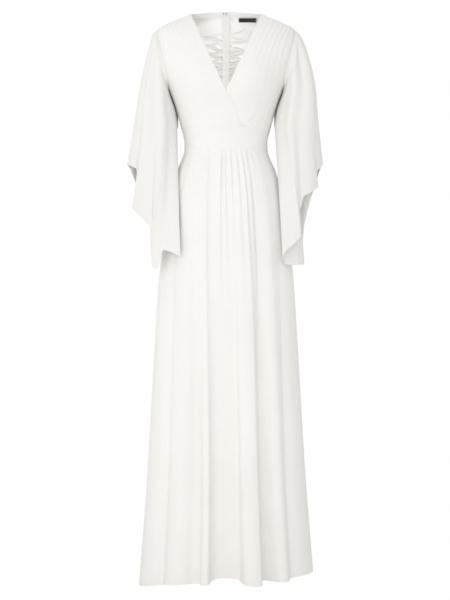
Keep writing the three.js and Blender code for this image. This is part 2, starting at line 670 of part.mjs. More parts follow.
/** manifold-3d solid of a closed three.js geometry, and back. */
function toSolid(geometry) {
  const bare = geometry.clone();
  bare.deleteAttribute("normal");
  bare.deleteAttribute("uv");
  const merged = mergeVertices(bare, 1e-5);
  const vertProperties = new Float32Array(merged.attributes.position.array);
  const triVerts = new Uint32Array(merged.index.array);
  return new wasm.Manifold(new wasm.Mesh({ numProp: 3, vertProperties, triVerts }));
}

function fromSolid(solid) {
  const mesh = solid.getMesh();
  const geometry = new THREE.BufferGeometry();
  geometry.setAttribute("position", new THREE.BufferAttribute(mesh.vertProperties, 3));
  geometry.setIndex(new THREE.BufferAttribute(mesh.triVerts, 1));
  return geometry;
}

/** Box from its lowest and highest corners. */
function boxBetween(low, high) {
  const size = high.map((v, k) => v - low[k]);
  return new THREE.BoxGeometry(...size).translate(...low.map((v, k) => v + size[k] / 2));
}

/** Rounded plate in the XZ plane, centred on y, from an outline of {x, z} points and an optional eye. */
function plate(outline, y, thick, eye) {
  const shape = new THREE.Shape(outline.map(({ x, z }) => new THREE.Vector2(x, z)));
  if (eye) shape.holes.push(new THREE.Path(eye.map(({ x, z }) => new THREE.Vector2(x, z))));
  const geometry = new THREE.ExtrudeGeometry(shape, { depth: thick, bevelEnabled: false });
  return geometry.rotateX(Math.PI / 2).translate(0, y + thick / 2, 0);
}

/** Height of the pull tab's hinge above the cloth. */
const HINGE_OUT = SLIDER.clear + SLIDER.thick + BRIDGE.hole / 2;

/** Slider in its own frame: y outwards from the cloth, z up along it. */
function sliderGeometry() {
  const half = SLIDER.wide / 2;
  const long = SLIDER.long / 2;
  const outline = [
    { x: -half, z: long - 2.5 },
    { x: -half * 0.7, z: long },
    { x: half * 0.7, z: long },
    { x: half, z: long - 2.5 },
    { x: half * 0.75, z: -long },
    { x: -half * 0.75, z: -long },
  ];
  const top = SLIDER.clear + SLIDER.thick;
  const bridge = boxBetween(
    [-BRIDGE.wide / 2, top - 0.2, -BRIDGE.legTo],
    [BRIDGE.wide / 2, top + BRIDGE.hole + BRIDGE.top, BRIDGE.legTo],
  );
  const hole = boxBetween(
    [-BRIDGE.wide, top, -BRIDGE.legFrom],
    [BRIDGE.wide, top + BRIDGE.hole, BRIDGE.legFrom],
  );
  const arch = toSolid(bridge).subtract(toSolid(hole));
  return fromSolid(toSolid(plate(outline, SLIDER.clear + SLIDER.thick / 2, SLIDER.thick)).add(arch));
}

/** Pull tab hanging down from its hinge, which is at its own origin. */
function pullGeometry() {
  const half = PULL.wide / 2;
  const inside = half - PULL.arm;
  const outline = [
    { x: -half, z: PULL.bar },
    { x: -half, z: -PULL.eye },
    { x: -PULL.tip * 0.35, z: -PULL.eye - 4 },
    { x: -PULL.tip / 2, z: -PULL.long + 3 },
    { x: -PULL.tip / 4, z: -PULL.long },
    { x: PULL.tip / 4, z: -PULL.long },
    { x: PULL.tip / 2, z: -PULL.long + 3 },
    { x: PULL.tip * 0.35, z: -PULL.eye - 4 },
    { x: half, z: -PULL.eye },
    { x: half, z: PULL.bar },
  ];
  const eye = [
    { x: -inside, z: -PULL.bar },
    { x: inside, z: -PULL.bar },
    { x: inside, z: -PULL.eye + 0.4 },
    { x: -inside, z: -PULL.eye + 0.4 },
  ];
  return plate(outline, 0, PULL.thick, eye);
}

function addZip() {
  addInsideStrip(
    "zip_guard",
    {
      fromX: -GUARD.half,
      toX: GUARD.half,
      top: GUARD.top,
      bottom: GUARD.bottom,
      columns: 2,
      rows: GUARD.steps + 1,
      thickness: LINING_WALL,
      extra: GUARD.extra,
    },
    IVORY_CHIFFON,
  );
  const seat = formPoint(180, SLIDER.z);
  const outward = formNormal(180, SLIDER.z);
  const lean = Math.atan2(outward.z, outward.y);
  const slider = addPiece("zip_slider", sliderGeometry(), WHITE_LACQUER);
  slider.position.copy(seat);
  slider.rotation.x = lean;
  const pull = addPiece("zip_pull", pullGeometry(), WHITE_LACQUER);
  pull.position.copy(seat).addScaledVector(outward, HINGE_OUT);
  pull.rotation.x = lean;
}

addFront("bodice_front_right", -1, PLEATS.right);
addFront("bodice_front_left", 1, PLEATS.left);
addNeckBand("neck_band_right", -1);
addNeckBand("neck_band_left", 1);
addBack("bodice_back_right", -1);
addBack("bodice_back_left", 1);
addBackNeckBand("neck_band_back_right", -1);
addBackNeckBand("neck_band_back_left", 1);
addBackLining("lining_back_right", -1);
addBackLining("lining_back_left", 1);
addMidriff("midriff_front", -90, 90, 17);
addMidriff("midriff_back_right", 180, 270, 9);
addMidriff("midriff_back_left", 90, 180, 9);
addSkirtPanel("skirt_front", SKIRT_FRONT, 1, 1, "out");
addSkirtPanel("skirt_back_right", SKIRT_BACK, -1, -1, "right");
addSkirtPanel("skirt_back_left", SKIRT_BACK, 1, -1, "left");
addSleeve("sleeve_right", -1, SLEEVE_HEMS.right);
addSleeve("sleeve_left", 1, SLEEVE_HEMS.left);
addZip();
addInsideStrip(
  "label",
  {
    fromX: LABEL.fromX,
    toX: LABEL.toX,
    top: LABEL.top,
    bottom: LABEL.bottom,
    columns: LABEL.steps + 1,
    rows: 2,
    thickness: LINING_WALL,
    extra: LABEL.extra,
  },
  BLACK_RIBBON,
);

export default dress;
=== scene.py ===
"""Ivory chiffon evening dress with a pleated wrap front, handkerchief sleeves and a zip down the back.

Each cut piece is a fine grid of points on the worn form, with its pleats, gathers and creases, and a thin
wall. Tables are in millimetres, as a dressmaker reads them. The meshes are in metres.
"""

import math

import bpy
import numpy as np
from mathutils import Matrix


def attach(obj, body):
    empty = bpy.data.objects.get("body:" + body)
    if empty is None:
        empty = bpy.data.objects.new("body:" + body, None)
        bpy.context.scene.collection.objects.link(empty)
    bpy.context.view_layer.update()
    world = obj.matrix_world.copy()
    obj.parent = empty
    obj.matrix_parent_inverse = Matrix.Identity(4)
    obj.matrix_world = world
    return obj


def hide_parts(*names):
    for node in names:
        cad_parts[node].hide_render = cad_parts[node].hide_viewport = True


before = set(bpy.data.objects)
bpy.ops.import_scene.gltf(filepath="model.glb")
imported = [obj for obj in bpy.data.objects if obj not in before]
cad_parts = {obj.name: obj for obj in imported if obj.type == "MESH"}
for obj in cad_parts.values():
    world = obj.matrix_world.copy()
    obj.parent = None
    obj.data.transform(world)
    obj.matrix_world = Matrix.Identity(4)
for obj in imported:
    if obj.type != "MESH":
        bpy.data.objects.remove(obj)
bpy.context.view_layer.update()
MM = 0.001

# ---------------------------------------------------------------- the cut, in millimetres

SIDES = ((-1, "right"), (1, "left"))

# Thickness of the cloth here, and the walls and gaps of the solids that it stands for.
CHIFFON = 0.7
SATIN = 0.5
FOLDED_CHIFFON = 0.9
WALL = 1.4
LAYER_GAP = 0.4
LINING_WALL = 1.0
STRIP_GAP = 0.3
INSIDE = WALL + LAYER_GAP + LINING_WALL + STRIP_GAP

ARMPIT_Z = -206
SHOULDER_POINT_Z = -42
MIDRIFF_TOP_Z = -304
MIDRIFF_BOTTOM_Z = -362
HEM_Z = -1520
NECK_HALF_WIDTH = 95
NECK_BAND_WIDTH = 16.5
NECK_BAND_Z = -6.9
BACK_NECK_RISE = 8

# The worn form at each height: half its width, and its depths in front and behind.
FORM_COLUMNS = ("z", "side", "front", "back")
FORM = (
    (8, 83, 15, 55),
    (0, 95, 24, 60),
    (-8.2, 111, 33, 65),
    (-20, 141, 46, 72),
    (-42, 182, 66, 82),
    (-56, 189, 75, 87),
    (-80, 192, 88, 93),
    (-110, 190, 100, 98),
    (-150, 178, 112, 101),
    (-180, 165, 116, 100),
    (-206, 153, 115, 97),
    (-250, 136, 106, 91),
    (-300, 122, 97, 85),
    (-350, 111, 90, 82),
    (-375, 113.5, 91, 85),
    (-394, 120.5, 92, 90),
    (-427, 134.5, 95, 99),
    (-500, 153, 102, 117),
    (-560, 161, 107, 126),
    (-697, 179.5, 121, 139),
    (-934, 194.5, 147, 160),
    (-1258, 213.5, 174, 186),
    (-1420, 226, 185, 197),
    (-1560, 237, 194, 206),
)
SQUARENESS = 0.17
BUST = {"z": -172, "tall": 62, "x": 74, "wide": 50, "full": 11}
# The neck edge of the wrap, by height and x, and how the lower front dives under the upper one.
WRAP_EDGE = ((0, NECK_HALF_WIDTH), (-211, 0), (-254, -23), (-304, -39))
WRAP_DIVE = {"deep": 1.5, "low": 2, "high": 30}
ARMHOLE_FRONT = {"cut": 26, "steps": 13}
ARMHOLE_BACK = {"cut": 23, "steps": 12}
SIDE_STEPS = 4
NECK_CROWDING = 1.35
PLEAT_CROWDING = 1.2
BACK_CORNER = 0.6

# How finely each piece is drawn: columns across a width and rows up a length, in mm.
FRONT_GRID = {"columns": 128, "wide": 150, "rows": 132, "long": 330}
NECK_BAND_GRID = {"columns": 13, "wide": NECK_BAND_WIDTH, "rows": 120, "long": 360}
BACK_GRID = {"columns": 66, "wide": 150, "rows": 76, "long": 290}
LINING_GRID = {"columns": 90, "wide": 150, "rows": 250, "long": 290}
BACK_BAND_GRID = {"columns": 70, "wide": 150, "rows": 9, "long": 10}
MIDRIFF_GRIDS = {
    "front": {"columns": 150, "wide": 360, "rows": 26, "long": 62},
    "back": {"columns": 70, "wide": 165, "rows": 26, "long": 62},
}
GUARD_GRID = {"columns": 15, "rows": 180}
LABEL_GRID = {"columns": 60, "rows": 18}
# The rows of the hanging cloth go from one share of the way down to another, in so many steps.
SKIRT_COLUMNS_OF = {"front": 225, "back": 125}
SKIRT_ROWS = {"gathered": (0.016, 0.2, 40), "hanging": (0.21, 0.985, 110)}
SLEEVE_GRID = {"columns": 176, "upper_rows": 56, "hanging_rows": (0, 0.97, 58), "hanging": 300}
# Distances in mm from an edge that always have a row of points, and how far past them the even rows begin.
EDGE_CLEARANCE = 1.2
EDGE_STEPS = (0.0, 1.2, 2.6, 4.4, 7.0)
MIDRIFF_STEPS = (0.0, 0.8, 1.7, 2.8, 4.2)
WAIST_STEPS = (0, 1.0, 2.2, 3.8, 6, 9, 13)
HEM_STEPS = (0, 1.0, 2.0, 3.0, 3.8, 4.6, 6.0, 9.0)

# Cloth sinks to its seams, rolls at its hems and rounds off at its folds: heights and widths in mm. Waves
# and slants are in radians over a piece, but the midriff's waves are in radians for a degree of turn.
SEAM = {"deep": 0.55, "reach": 2.4}
FRONT_SEAM = {"deep": 0.3, "reach": 2.4}
MIDRIFF_SEAM = {"deep": 0.2, "reach": 1.2}
SKIRT_SEAM = {"deep": 0.5, "reach": 2.2, "half_width": 105}
WAIST_SEAM = {"deep": 0.2, "reach": 2.0}
HEM_ROLL = {"high": 0.35, "at": 1.8, "wide": 1.7}
HEM_GROOVE = {"deep": 0.3, "at": 4.6, "wide": 0.8}
FOLD_EDGE = {"deep": 0.5, "reach": 1.3}
BAND_SLACK = {"high": 0.25, "waves": 31, "slant": 2}
MIDRIFF_RIDGE = {"high": 0.4, "more": 0.3, "turn": -3, "spread": 25, "at": 0.8, "wide": 1.7}
MIDRIFF_FOOT = {"high": 0.2, "at": 2.6, "wide": 1.8}
MIDRIFF_DRAG = {"high": 0.3, "waves": 0.09, "slant": 7}

# Pleats of the fronts: where each lies from the neck band to the armhole, its height, and its two flanks.
PLEATS = {
    "right": (
        (0.09, 0.6, 0.030, 0.014),
        (0.21, 1.1, 0.034, 0.016),
        (0.29, 0.3, 0.016, 0.012),
        (0.35, 1.5, 0.036, 0.016),
        (0.47, 1.0, 0.034, 0.014),
        (0.54, 0.4, 0.016, 0.012),
        (0.60, 1.7, 0.036, 0.018),
        (0.67, 0.5, 0.018, 0.012),
        (0.74, 1.4, 0.036, 0.015),
        (0.80, 0.4, 0.016, 0.012),
        (0.88, 1.2, 0.034, 0.016),
    ),
    "left": (
        (0.08, 0.9, 0.028, 0.014),
        (0.20, 1.5, 0.030, 0.016),
        (0.25, 0.4, 0.015, 0.012),
        (0.33, 1.1, 0.030, 0.016),
        (0.40, 0.5, 0.017, 0.012),
        (0.46, 2.0, 0.034, 0.018),
        (0.515, 0.6, 0.016, 0.012),
        (0.585, 1.4, 0.030, 0.014),
        (0.65, 0.9, 0.017, 0.012),
        (0.72, 2.5, 0.033, 0.016),
        (0.79, 1.0, 0.016, 0.012),
        (0.86, 1.9, 0.030, 0.016),
        (0.93, 0.7, 0.016, 0.012),
    ),
}
# Pleats are crisp below the shoulder seam and melt away over the bust, as shares of the way up.
PLEAT_MELT = {"right": 0.42, "left": 0.26}
PLEAT_FADE = {"foot": 0.26, "crisp": 0.86, "shoulder": 0.5, "shoulder_end": 0.08}
PLEAT_SWAY = {"wide": 0.006, "waves": 9, "apart": 40}
EDGE_FADE = 0.02
UNDERBUST_FLANK = 0.7
UNDERBUST_HOLD = 0.25
# Short gathers that spread up and outwards from the midriff seam under the bust: place, height, half-width,
# reach upwards and lean outwards.
UNDERBUST = {
    "right": (
        (0.18, 0.4, 0.014, 0.06, 0.6),
        (0.26, 0.7, 0.014, 0.09, 0.8),
        (0.33, -0.5, 0.014, 0.07, 0.9),
        (0.41, 0.8, 0.016, 0.10, 1.1),
        (0.50, 0.6, 0.014, 0.08, 1.3),
        (0.58, -0.5, 0.016, 0.12, 1.4),
        (0.66, 0.7, 0.018, 0.10, 1.5),
    ),
    "left": (
        (0.10, 0.5, 0.014, 0.05, 0.6),
        (0.17, 0.8, 0.014, 0.07, 1.0),
        (0.25, 1.3, 0.014, 0.11, 1.8),
        (0.30, -0.9, 0.014, 0.09, 1.9),
        (0.35, 1.5, 0.015, 0.13, 2.1),
        (0.41, -1.0, 0.015, 0.10, 2.1),
        (0.47, 1.2, 0.016, 0.12, 2.0),
        (0.55, 0.6, 0.016, 0.08, 1.6),
    ),
}

# Skirt: each row is one fold line, by its x at the midriff and at the hem, how far it stands out just below
# the midriff and at the hem, and how much lower its hem hangs.
SKIRT_COLUMNS = ("waist", "hem", "gather", "out", "drop")
GATHER_SHARE = 0.75
GATHERS = {"full": 0.03, "from": 0.1, "to": 0.42}
FOLD_GROWTH = 1.1
SKIRT_FRONT = (
    (-112, -234, 0, 0, 10),
    (-108, -213, 0, 7, 9),
    (-101, -193, 0.5, 3, 7),
    (-93, -177, -0.5, -11, 4),
    (-85, -158, 0.8, 2, 3),
    (-77, -134, 0, 9, 2),
    (-69, -110, 1, 5, 0),
    (-62, -92, -0.5, -4, -2),
    (-56, -73, 2.4, -2, -2),
    (-50, -60, -1, 12, 2),
    (-44, -47, 2.6, 15, 1),
    (-37, -38, -0.8, -6, -10),
    (-26, -28, 0.6, -16, -14),
    (-14, -12, 2.6, -19, -16),
    (-9.5, 0, -0.8, -20, -16),
    (-5, 13, 2.2, -20, -16),
    (2, 28, -0.8, -18, -14),
    (9, 39, 2.6, -12, -10),
    (16, 46, -0.8, 10, 0),
    (23, 57, 2.8, 20, 3),
    (30, 71, -0.8, 23, 4),
    (37, 84, 2.8, 21, 3),
    (43, 93, -0.8, 8, 0),
    (48, 100, 2.6, -16, -8),
    (54, 114, -0.8, -26, -10),
    (60, 127, 2.2, -14, -8),
    (69, 138, -0.4, 6, -6),
    (78, 153, 0.8, 13, -6),
    (88, 169, -0.3, 2, -10),
    (96, 178, 0.4, -9, -14),
    (104, 199, 0, 3, -20),
    (109, 218, 0, 7, -25),
    (112, 234, 0, 0, -28),
)
BACK_HEM_DROP = {"right": 10, "left": -28}
SKIRT_BACK_COLUMNS = ("waist", "hem", "gather", "right", "left")
SKIRT_BACK = (
    (112, 234, 0, 0, 0),
    (107, 213, 0, -5, -7),
    (99, 190, 0.8, 6, 9),
    (90, 168, 0, 11, 7),
    (80, 147, 1.4, -4, -9),
    (70, 125, -0.4, -12, -4),
    (61, 105, 1.6, 5, 10),
    (52, 86, -0.4, 12, 9),
    (43, 68, 1.6, 2, -8),
    (34, 51, -0.4, -13, -10),
    (24, 35, 1.2, -4, 6),
    (13, 18, 0.4, 8, 9),
    (0, 0, 0, 4, 4),
)
# A crease of the skirt widens by this share on its way down, and fades in and out over these.
CREASE_SPREAD = 1.2
CREASE_FADE = {"hold": 0.45, "at_waist": 0.006, "lower": 0.14}
# Finer gathers and creases of the skirt: x at the midriff and at the hem, height, the two flanks, and where
# each starts and ends on its way down.
FRONT_CREASES = (
    (-52, -49, -2.4, 9, 1.6, 0.14, 0.80),
    (12, 38, -2.2, 8, 1.6, 0.30, 0.97),
    (-54, -70, 0.8, 3.0, 2.0, 0, 0.08),
    (-47, -56, 1.4, 3.2, 1.8, 0, 0.26),
    (-40, -48, -0.9, 3.0, 3.0, 0, 0.14),
    (-30, -34, 0.6, 3.5, 2.2, 0, 0.07),
    (-22, -25, 0.8, 2.6, 1.8, 0, 0.10),
    (-13, -12, 1.5, 2.6, 1.5, 0, 0.34),
    (-7.5, -4, -1.2, 2.0, 2.0, 0, 0.16),
    (-2.5, 9, 1.5, 2.6, 1.6, 0, 0.28),
    (4.5, 24, 0.8, 2.6, 1.6, 0, 0.10),
    (10.5, 34, 1.6, 2.8, 1.6, 0, 0.24),
    (19.0, 50, 0.7, 2.6, 1.8, 0, 0.09),
    (26.5, 62, 1.3, 3.0, 1.6, 0, 0.20),
    (33.0, 74, 0.8, 2.6, 1.8, 0, 0.08),
    (39, 83, 1.9, 3.4, 1.8, 0, 0.38),
    (45.5, 96, 0.9, 2.6, 2.0, 0, 0.12),
    (52, 106, 2.4, 5.5, 3.0, 0, 0.52),
    (58, 113, -3.6, 6.0, 9.0, 0.01, 0.9),
    (66, 124, 0.5, 3.5, 2.5, 0, 0.09),
    (-88, -168, -1.0, 12, 16, 0.3, 1.0),
    (-62, -88, -7.0, 11, 7, 0.45, 1.0),
    (84, 172, -1.6, 13, 8, 0.15, 1.0),
    (97, 188, 1.2, 8, 8, 0.4, 1.0),
    (-100, -190, 1.0, 10, 10, 0.45, 1.0),
)
BACK_CREASES = {
    "right": (
        (104, 206, 1.2, 9, 9, 0.3, 1.0),
        (95, 180, -1.4, 8, 12, 0.2, 1.0),
        (88, 160, 1.0, 3.0, 2.0, 0, 0.14),
        (81, 146, 1.4, 3.0, 1.8, 0, 0.22),
        (74, 132, 1.1, 2.8, 2.0, 0, 0.12),
        (66, 112, 1.6, 3.0, 1.8, 0, 0.30),
        (58, 97, 1.2, 2.6, 1.8, 0, 0.16),
        (50, 80, 1.8, 3.2, 1.8, 0, 0.36),
        (41, 66, 1.2, 2.8, 1.8, 0, 0.15),
        (33, 50, 1.6, 3.0, 1.8, 0, 0.26),
        (24, 36, 1.3, 2.6, 1.8, 0, 0.18),
        (15, 22, 1.5, 2.8, 1.8, 0, 0.24),
        (38, 58, -2.0, 9, 4, 0.35, 1.0),
        (60, 104, 1.3, 7, 9, 0.45, 1.0),
    ),
    "left": (
        (105, 208, 1.0, 9, 9, 0.35, 1.0),
        (93, 176, -1.6, 9, 11, 0.25, 1.0),
        (85, 155, 1.2, 3.0, 1.8, 0, 0.20),
        (77, 139, 1.0, 2.8, 2.0, 0, 0.13),
        (69, 121, 1.7, 3.2, 1.8, 0, 0.33),
        (62, 104, 1.1, 2.6, 1.8, 0, 0.15),
        (54, 90, 1.5, 3.0, 1.8, 0, 0.24),
        (46, 73, 1.2, 2.6, 1.8, 0, 0.17),
        (37, 57, 1.8, 3.2, 1.8, 0, 0.38),
        (28, 43, 1.2, 2.8, 1.8, 0, 0.14),
        (19, 29, 1.5, 2.8, 1.8, 0, 0.27),
        (10, 15, 1.1, 2.6, 1.8, 0, 0.16),
        (48, 78, -1.8, 8, 5, 0.4, 1.0),
        (72, 128, 1.4, 8, 7, 0.5, 1.0),
    ),
}

# Sleeve: rings round the arm, each by its outer and its inner point, its middle's y and its half-depth. The
# inner point leans back, and behind it the cloth is tucked in towards the body. The left sleeve is fuller.
RING_COLUMNS = ("outer_x", "outer_z", "inner_x", "inner_z", "middle_y", "deep", "lean", "tuck", "fuller")
SLEEVE_RINGS = (
    (197, -57, 152, -214, -2, 53, 0, 0, 1),
    (206, -88, 146.5, -228, -5, 56, 4, 7, 7),
    (228, -182, 137, -255, -12, 59, 8, 18, 10),
    (243.5, -280, 131, -302, -20, 62, 6, 16, 3),
)
TUCK = {"round": 228, "from": 186, "to": 292}
HIP_ROOM = {"wide": 14, "from": 170, "full": 200, "fade": 250, "to": 300}
SLEEVE_ROOT_GAP = 0.1
RING_SHARE = 0.55
HEM_STRAIGHTENS = 0.55
ROOT_STEPS = (0, 0.02, 0.05, 0.09)
ROOT_END = 0.14
DRAPE_FADE = {"start": 0.25, "end": 0.1}
HEM_COLUMNS = ("round", "x", "y", "z")
SLEEVE_HEMS = {
    "right": (
        (0, 265, 0, -404),
        (12, 253, -20, -410),
        (24, 241, -30, -416),
        (37, 234, -24, -440),
        (49, 240, -22, -490),
        (61, 249, -30, -524),
        (78, 226, -54, -547),
        (94, 202, -72, -572),
        (106, 200, -72, -640),
        (118, 197, -78, -682),
        (130, 180, -86, -684),
        (146, 168, -92, -634),
        (162, 146, -106, -640),
        (176, 122, -111, -652),
        (185, 128, -102, -646),
        (196, 148, -85, -634),
        (208, 168, -73, -645),
        (222, 184, -64, -684),
        (237, 196, -54, -682),
        (252, 194, -36, -640),
        (268, 196, -20, -590),
        (286, 214, -6, -540),
        (305, 229, 8, -500),
        (324, 244, 16, -450),
        (342, 257, 12, -418),
    ),
    "left": (
        (0, 260, 0, -402),
        (12, 255, -16, -412),
        (24, 247, -28, -418),
        (37, 240, -24, -432),
        (49, 243, -28, -452),
        (61, 247, -36, -467),
        (78, 229, -54, -479),
        (94, 210, -64, -491),
        (106, 202, -66, -522),
        (118, 194, -68, -526),
        (130, 198, -78, -600),
        (146, 180, -88, -620),
        (162, 163, -90, -634),
        (176, 151, -86, -654),
        (185, 156, -76, -672),
        (196, 173, -68, -675),
        (208, 189, -58, -675),
        (222, 203, -47, -674),
        (237, 212, -36, -672),
        (252, 203, -24, -628),
        (268, 206, -12, -580),
        (286, 218, 0, -530),
        (305, 230, 10, -490),
        (324, 243, 16, -448),
        (342, 254, 12, -415),
    ),
}
# Long soft folds of each sleeve: the fold line each follows at the armhole, at the elbow and at the hem,
# its height, its half-width in fold lines, and where it starts and ends on its way down.
SLEEVE_DRAPES = {
    "right": (
        (2.0, 3.4, 3.6, -2.5, 0.7, 0.15, 1.0),
        (3.2, 5.0, 5.4, 2.5, 0.9, 0.20, 1.0),
        (4.5, 6.6, 8.4, -3.5, 0.9, 0.10, 0.95),
        (6.0, 8.4, 10.0, 2.5, 0.9, 0.25, 1.0),
        (8.0, 10.2, 11.6, -3.0, 0.8, 0.30, 1.0),
        (10.0, 12.0, 13.4, 2.0, 0.8, 0.30, 1.0),
        (15.0, 15.5, 16.0, -3.0, 0.8, 0.25, 1.0),
        (17.0, 17.4, 18.0, 2.5, 0.9, 0.15, 1.0),
        (19.0, 19.5, 19.8, -3.5, 0.9, 0.20, 1.0),
        (21.0, 21.6, 22.0, 3.0, 0.9, 0.15, 1.0),
        (23.0, 23.2, 23.6, -2.5, 0.8, 0.25, 1.0),
    ),
    "left": (
        (0.8, 1.9, 2.4, -2.5, 0.7, 0.10, 0.8),
        (1.8, 3.3, 3.9, 2.5, 0.8, 0.10, 1.0),
        (3.0, 6.3, 7.6, -8.0, 1.1, 0.04, 1.0),
        (4.4, 8.3, 9.4, 3.5, 1.1, 0.10, 1.0),
        (7.0, 10.2, 11.2, -2.5, 0.9, 0.30, 1.0),
        (9.6, 12.2, 12.6, 2.0, 0.8, 0.30, 1.0),
        (15.2, 15.4, 16.2, -3.0, 0.8, 0.25, 1.0),
        (17.0, 17.8, 18.2, 3.0, 0.9, 0.15, 1.0),
        (19.2, 19.6, 20.2, -3.5, 0.9, 0.20, 1.0),
        (21.2, 21.4, 22.0, 2.5, 0.9, 0.20, 1.0),
        (23.2, 23.4, 23.4, -2.5, 0.8, 0.20, 1.0),
    ),
}

SLACK_LEAN = 0.5
# Soft slack of the back: place across and up, height, width across and up, lean.
BACK_SLACK = {
    "right": (
        (0.35, 0.42, 1.1, 0.05, 0.30, 0.25),
        (0.55, 0.30, -1.0, 0.06, 0.26, 0.30),
        (0.74, 0.50, 1.3, 0.05, 0.22, -0.35),
        (0.86, 0.44, -1.0, 0.04, 0.16, -0.45),
        (0.22, 0.70, 0.8, 0.06, 0.20, 0.10),
    ),
    "left": (
        (0.30, 0.36, -1.0, 0.06, 0.28, 0.22),
        (0.50, 0.46, 1.2, 0.05, 0.30, 0.28),
        (0.70, 0.40, -1.1, 0.05, 0.22, -0.30),
        (0.84, 0.50, 1.2, 0.04, 0.18, -0.42),
        (0.18, 0.74, 0.8, 0.05, 0.18, 0.08),
    ),
}

# The lining stops short of the back's edges, by shares of its size. Its wrinkles begin beside the zip.
LINING_GAP = 0.3
LINING_TRIM = {"side": 0.975, "bottom": 0.004, "top": 0.996}
WRINKLE_DEPTH = 1.9
WRINKLE_FLANK = 0.6
WRINKLE_SWAY = {"high": 1.4, "long": 6}
WRINKLE_FREE = {"from": 1.5, "full": 9}
# Wrinkles of the back lining: height z, x where each is deepest, half-length, depth, half-width, slope.
WRINKLES = {
    "right": (
        (-52, 30, 26, 1.1, 3.0, -0.35),
        (-66, 22, 30, 1.4, 3.4, 0.25),
        (-78, 34, 28, 1.1, 3.0, -0.20),
        (-92, 20, 26, 1.7, 3.2, 0.30),
        (-101, 28, 24, 1.4, 2.8, -0.15),
        (-112, 18, 30, 1.9, 3.2, 0.18),
        (-120, 26, 20, 1.5, 2.4, -0.25),
        (-129, 17, 26, 1.9, 2.8, 0.12),
        (-137, 24, 22, 1.6, 2.4, 0.22),
        (-146, 16, 26, 1.9, 2.6, -0.16),
        (-154, 22, 20, 1.6, 2.4, 0.10),
        (-163, 16, 24, 1.8, 2.6, 0.20),
        (-172, 20, 22, 1.5, 2.4, -0.12),
        (-184, 18, 26, 1.6, 3.0, 0.15),
        (-198, 24, 28, 1.3, 3.2, -0.10),
        (-214, 20, 26, 1.2, 3.2, 0.16),
        (-232, 28, 30, 1.0, 3.6, -0.10),
        (-252, 24, 30, 1.0, 3.6, 0.10),
        (-274, 30, 34, 0.9, 4.0, -0.06),
    ),
    "left": (
        (-44, 26, 20, 1.0, 3.0, 0.30),
        (-57, 20, 26, 1.5, 3.4, -0.22),
        (-71, 28, 26, 1.2, 3.0, 0.20),
        (-86, 20, 24, 1.5, 3.0, -0.28),
        (-97, 24, 24, 1.8, 2.8, 0.12),
        (-106, 18, 24, 1.6, 2.4, 0.25),
        (-115, 24, 26, 1.9, 2.8, -0.14),
        (-124, 18, 22, 1.7, 2.4, 0.16),
        (-132, 22, 24, 1.9, 2.6, -0.20),
        (-141, 17, 24, 1.7, 2.4, 0.12),
        (-150, 22, 22, 1.8, 2.6, 0.20),
        (-159, 17, 24, 1.6, 2.4, -0.12),
        (-168, 22, 22, 1.7, 2.6, 0.10),
        (-179, 18, 26, 1.5, 2.8, -0.18),
        (-192, 24, 26, 1.4, 3.0, 0.12),
        (-207, 20, 26, 1.2, 3.2, -0.10),
        (-224, 26, 30, 1.1, 3.4, 0.10),
        (-244, 22, 30, 1.0, 3.6, -0.12),
        (-266, 30, 34, 0.9, 4.0, 0.06),
    ),
}

# Strips on the lining inside the back, by x and z, and how far each lies off it. Reaches and widths
# of their curl are shares of the strip.
GUARD = {"from": -9.5, "to": 9.5, "top": 0, "bottom": -352, "extra": 0.5}
LABEL = {"from": 35, "to": 82, "top": -6.5, "bottom": -17, "extra": 1.3}
LABEL_STITCHES = {"inwards": 1.2, "below_edge": 0.8, "points": 12}
LABEL_CURL = 0.25
LABEL_HOLD = {"deep": 0.3, "reach": 0.05}
GUARD_SLACK = {"high": 0.25, "waves": 40, "slant": 3}
GUARD_TROUGH = {"deep": 0.3, "wide": 0.42}
# Row of stitches beside the zip tape, from which the lining's end rows are left out, and the tape's ridge.
TAPE_STITCH = {"x": 11.0, "wide": 0.9, "skip_low": 12, "skip_high": 8}
TAPE_RIDGE = {"high": 0.8, "to": 13.5, "fade": 16}
# Folded stops at the top of the zip tape, and the zip from below its slider to its end.
TOP_STOPS = {"x": (-6.6, 1.2), "z": 4.6, "wide": 1.0, "tall": 1.5, "inside": 0.9, "flat": 0.7, "corners": 20}
TOP_STOP_LEVELS = (-1, -0.75, 0, 0.75, 1)
TOP_STOP_ROUNDING = (0.72, 1, 1, 1, 0.72)
TOP_STOP_HOLLOW = 0.3
SLIDER_Z = -19
ZIP_START = 6.0
ZIP_STEP = 3.0
ZIP_END_Z = -520
ZIP_SUNK = {"bodice": -0.45, "midriff": -0.15, "under_cloth": 0.1}
# The stitches of the hems follow this row of HEM_STEPS.
HEM_STITCH_ROW = 5
STITCH = {"pitch": 2.6, "long": 1.9, "thick": 0.32}
ZIP_TOOTH = {"pitch": 1.3, "long": 0.8, "wide": 0.9, "deep": 0.5, "apart": 0.55}

SHADES_PER_METRE = 7.0
FIBRES_PER_METRE = 400.0
ROUGH_SPREAD = 0.06

# Studio, in metres and watts. The paper floor turns from a grey painted shadow in its middle to white
# between two radii, and the white surround is dimmed towards one side. Each lamp has its place, its aim, its
# width and height, and its power.
FLOOR_Z = -1.7
FLOOR_HALF = 1.85
# Radii in metres over which the floor's painted shadow fades from grey to white.
FLOOR_PAINTED_SHADOW = (0.4, 1.5)
SHADE_SIDE = (0.8, -0.6, 0)
SHADE_FROM = -0.2
SHADE = 0.78
LAMPS = (
    ("key_softbox", (-1.5, -2.2, 0.5), (0, 0, -0.5), 1.3, 1.3, 5),
    ("front_softbox", (-0.3, -4.5, -0.9), (0, 0, -0.9), 2.4, 2.4, 44),
    ("neckline_lamp", (-0.02, -0.055, -0.2), (0, 0.09, -0.12), 0.10, 0.16, 0.16),
)
CAMERA = {"x": -0.0027, "z": -0.7678, "distance": 12, "sensor": 36}
FRAME_HEIGHT = 1.609


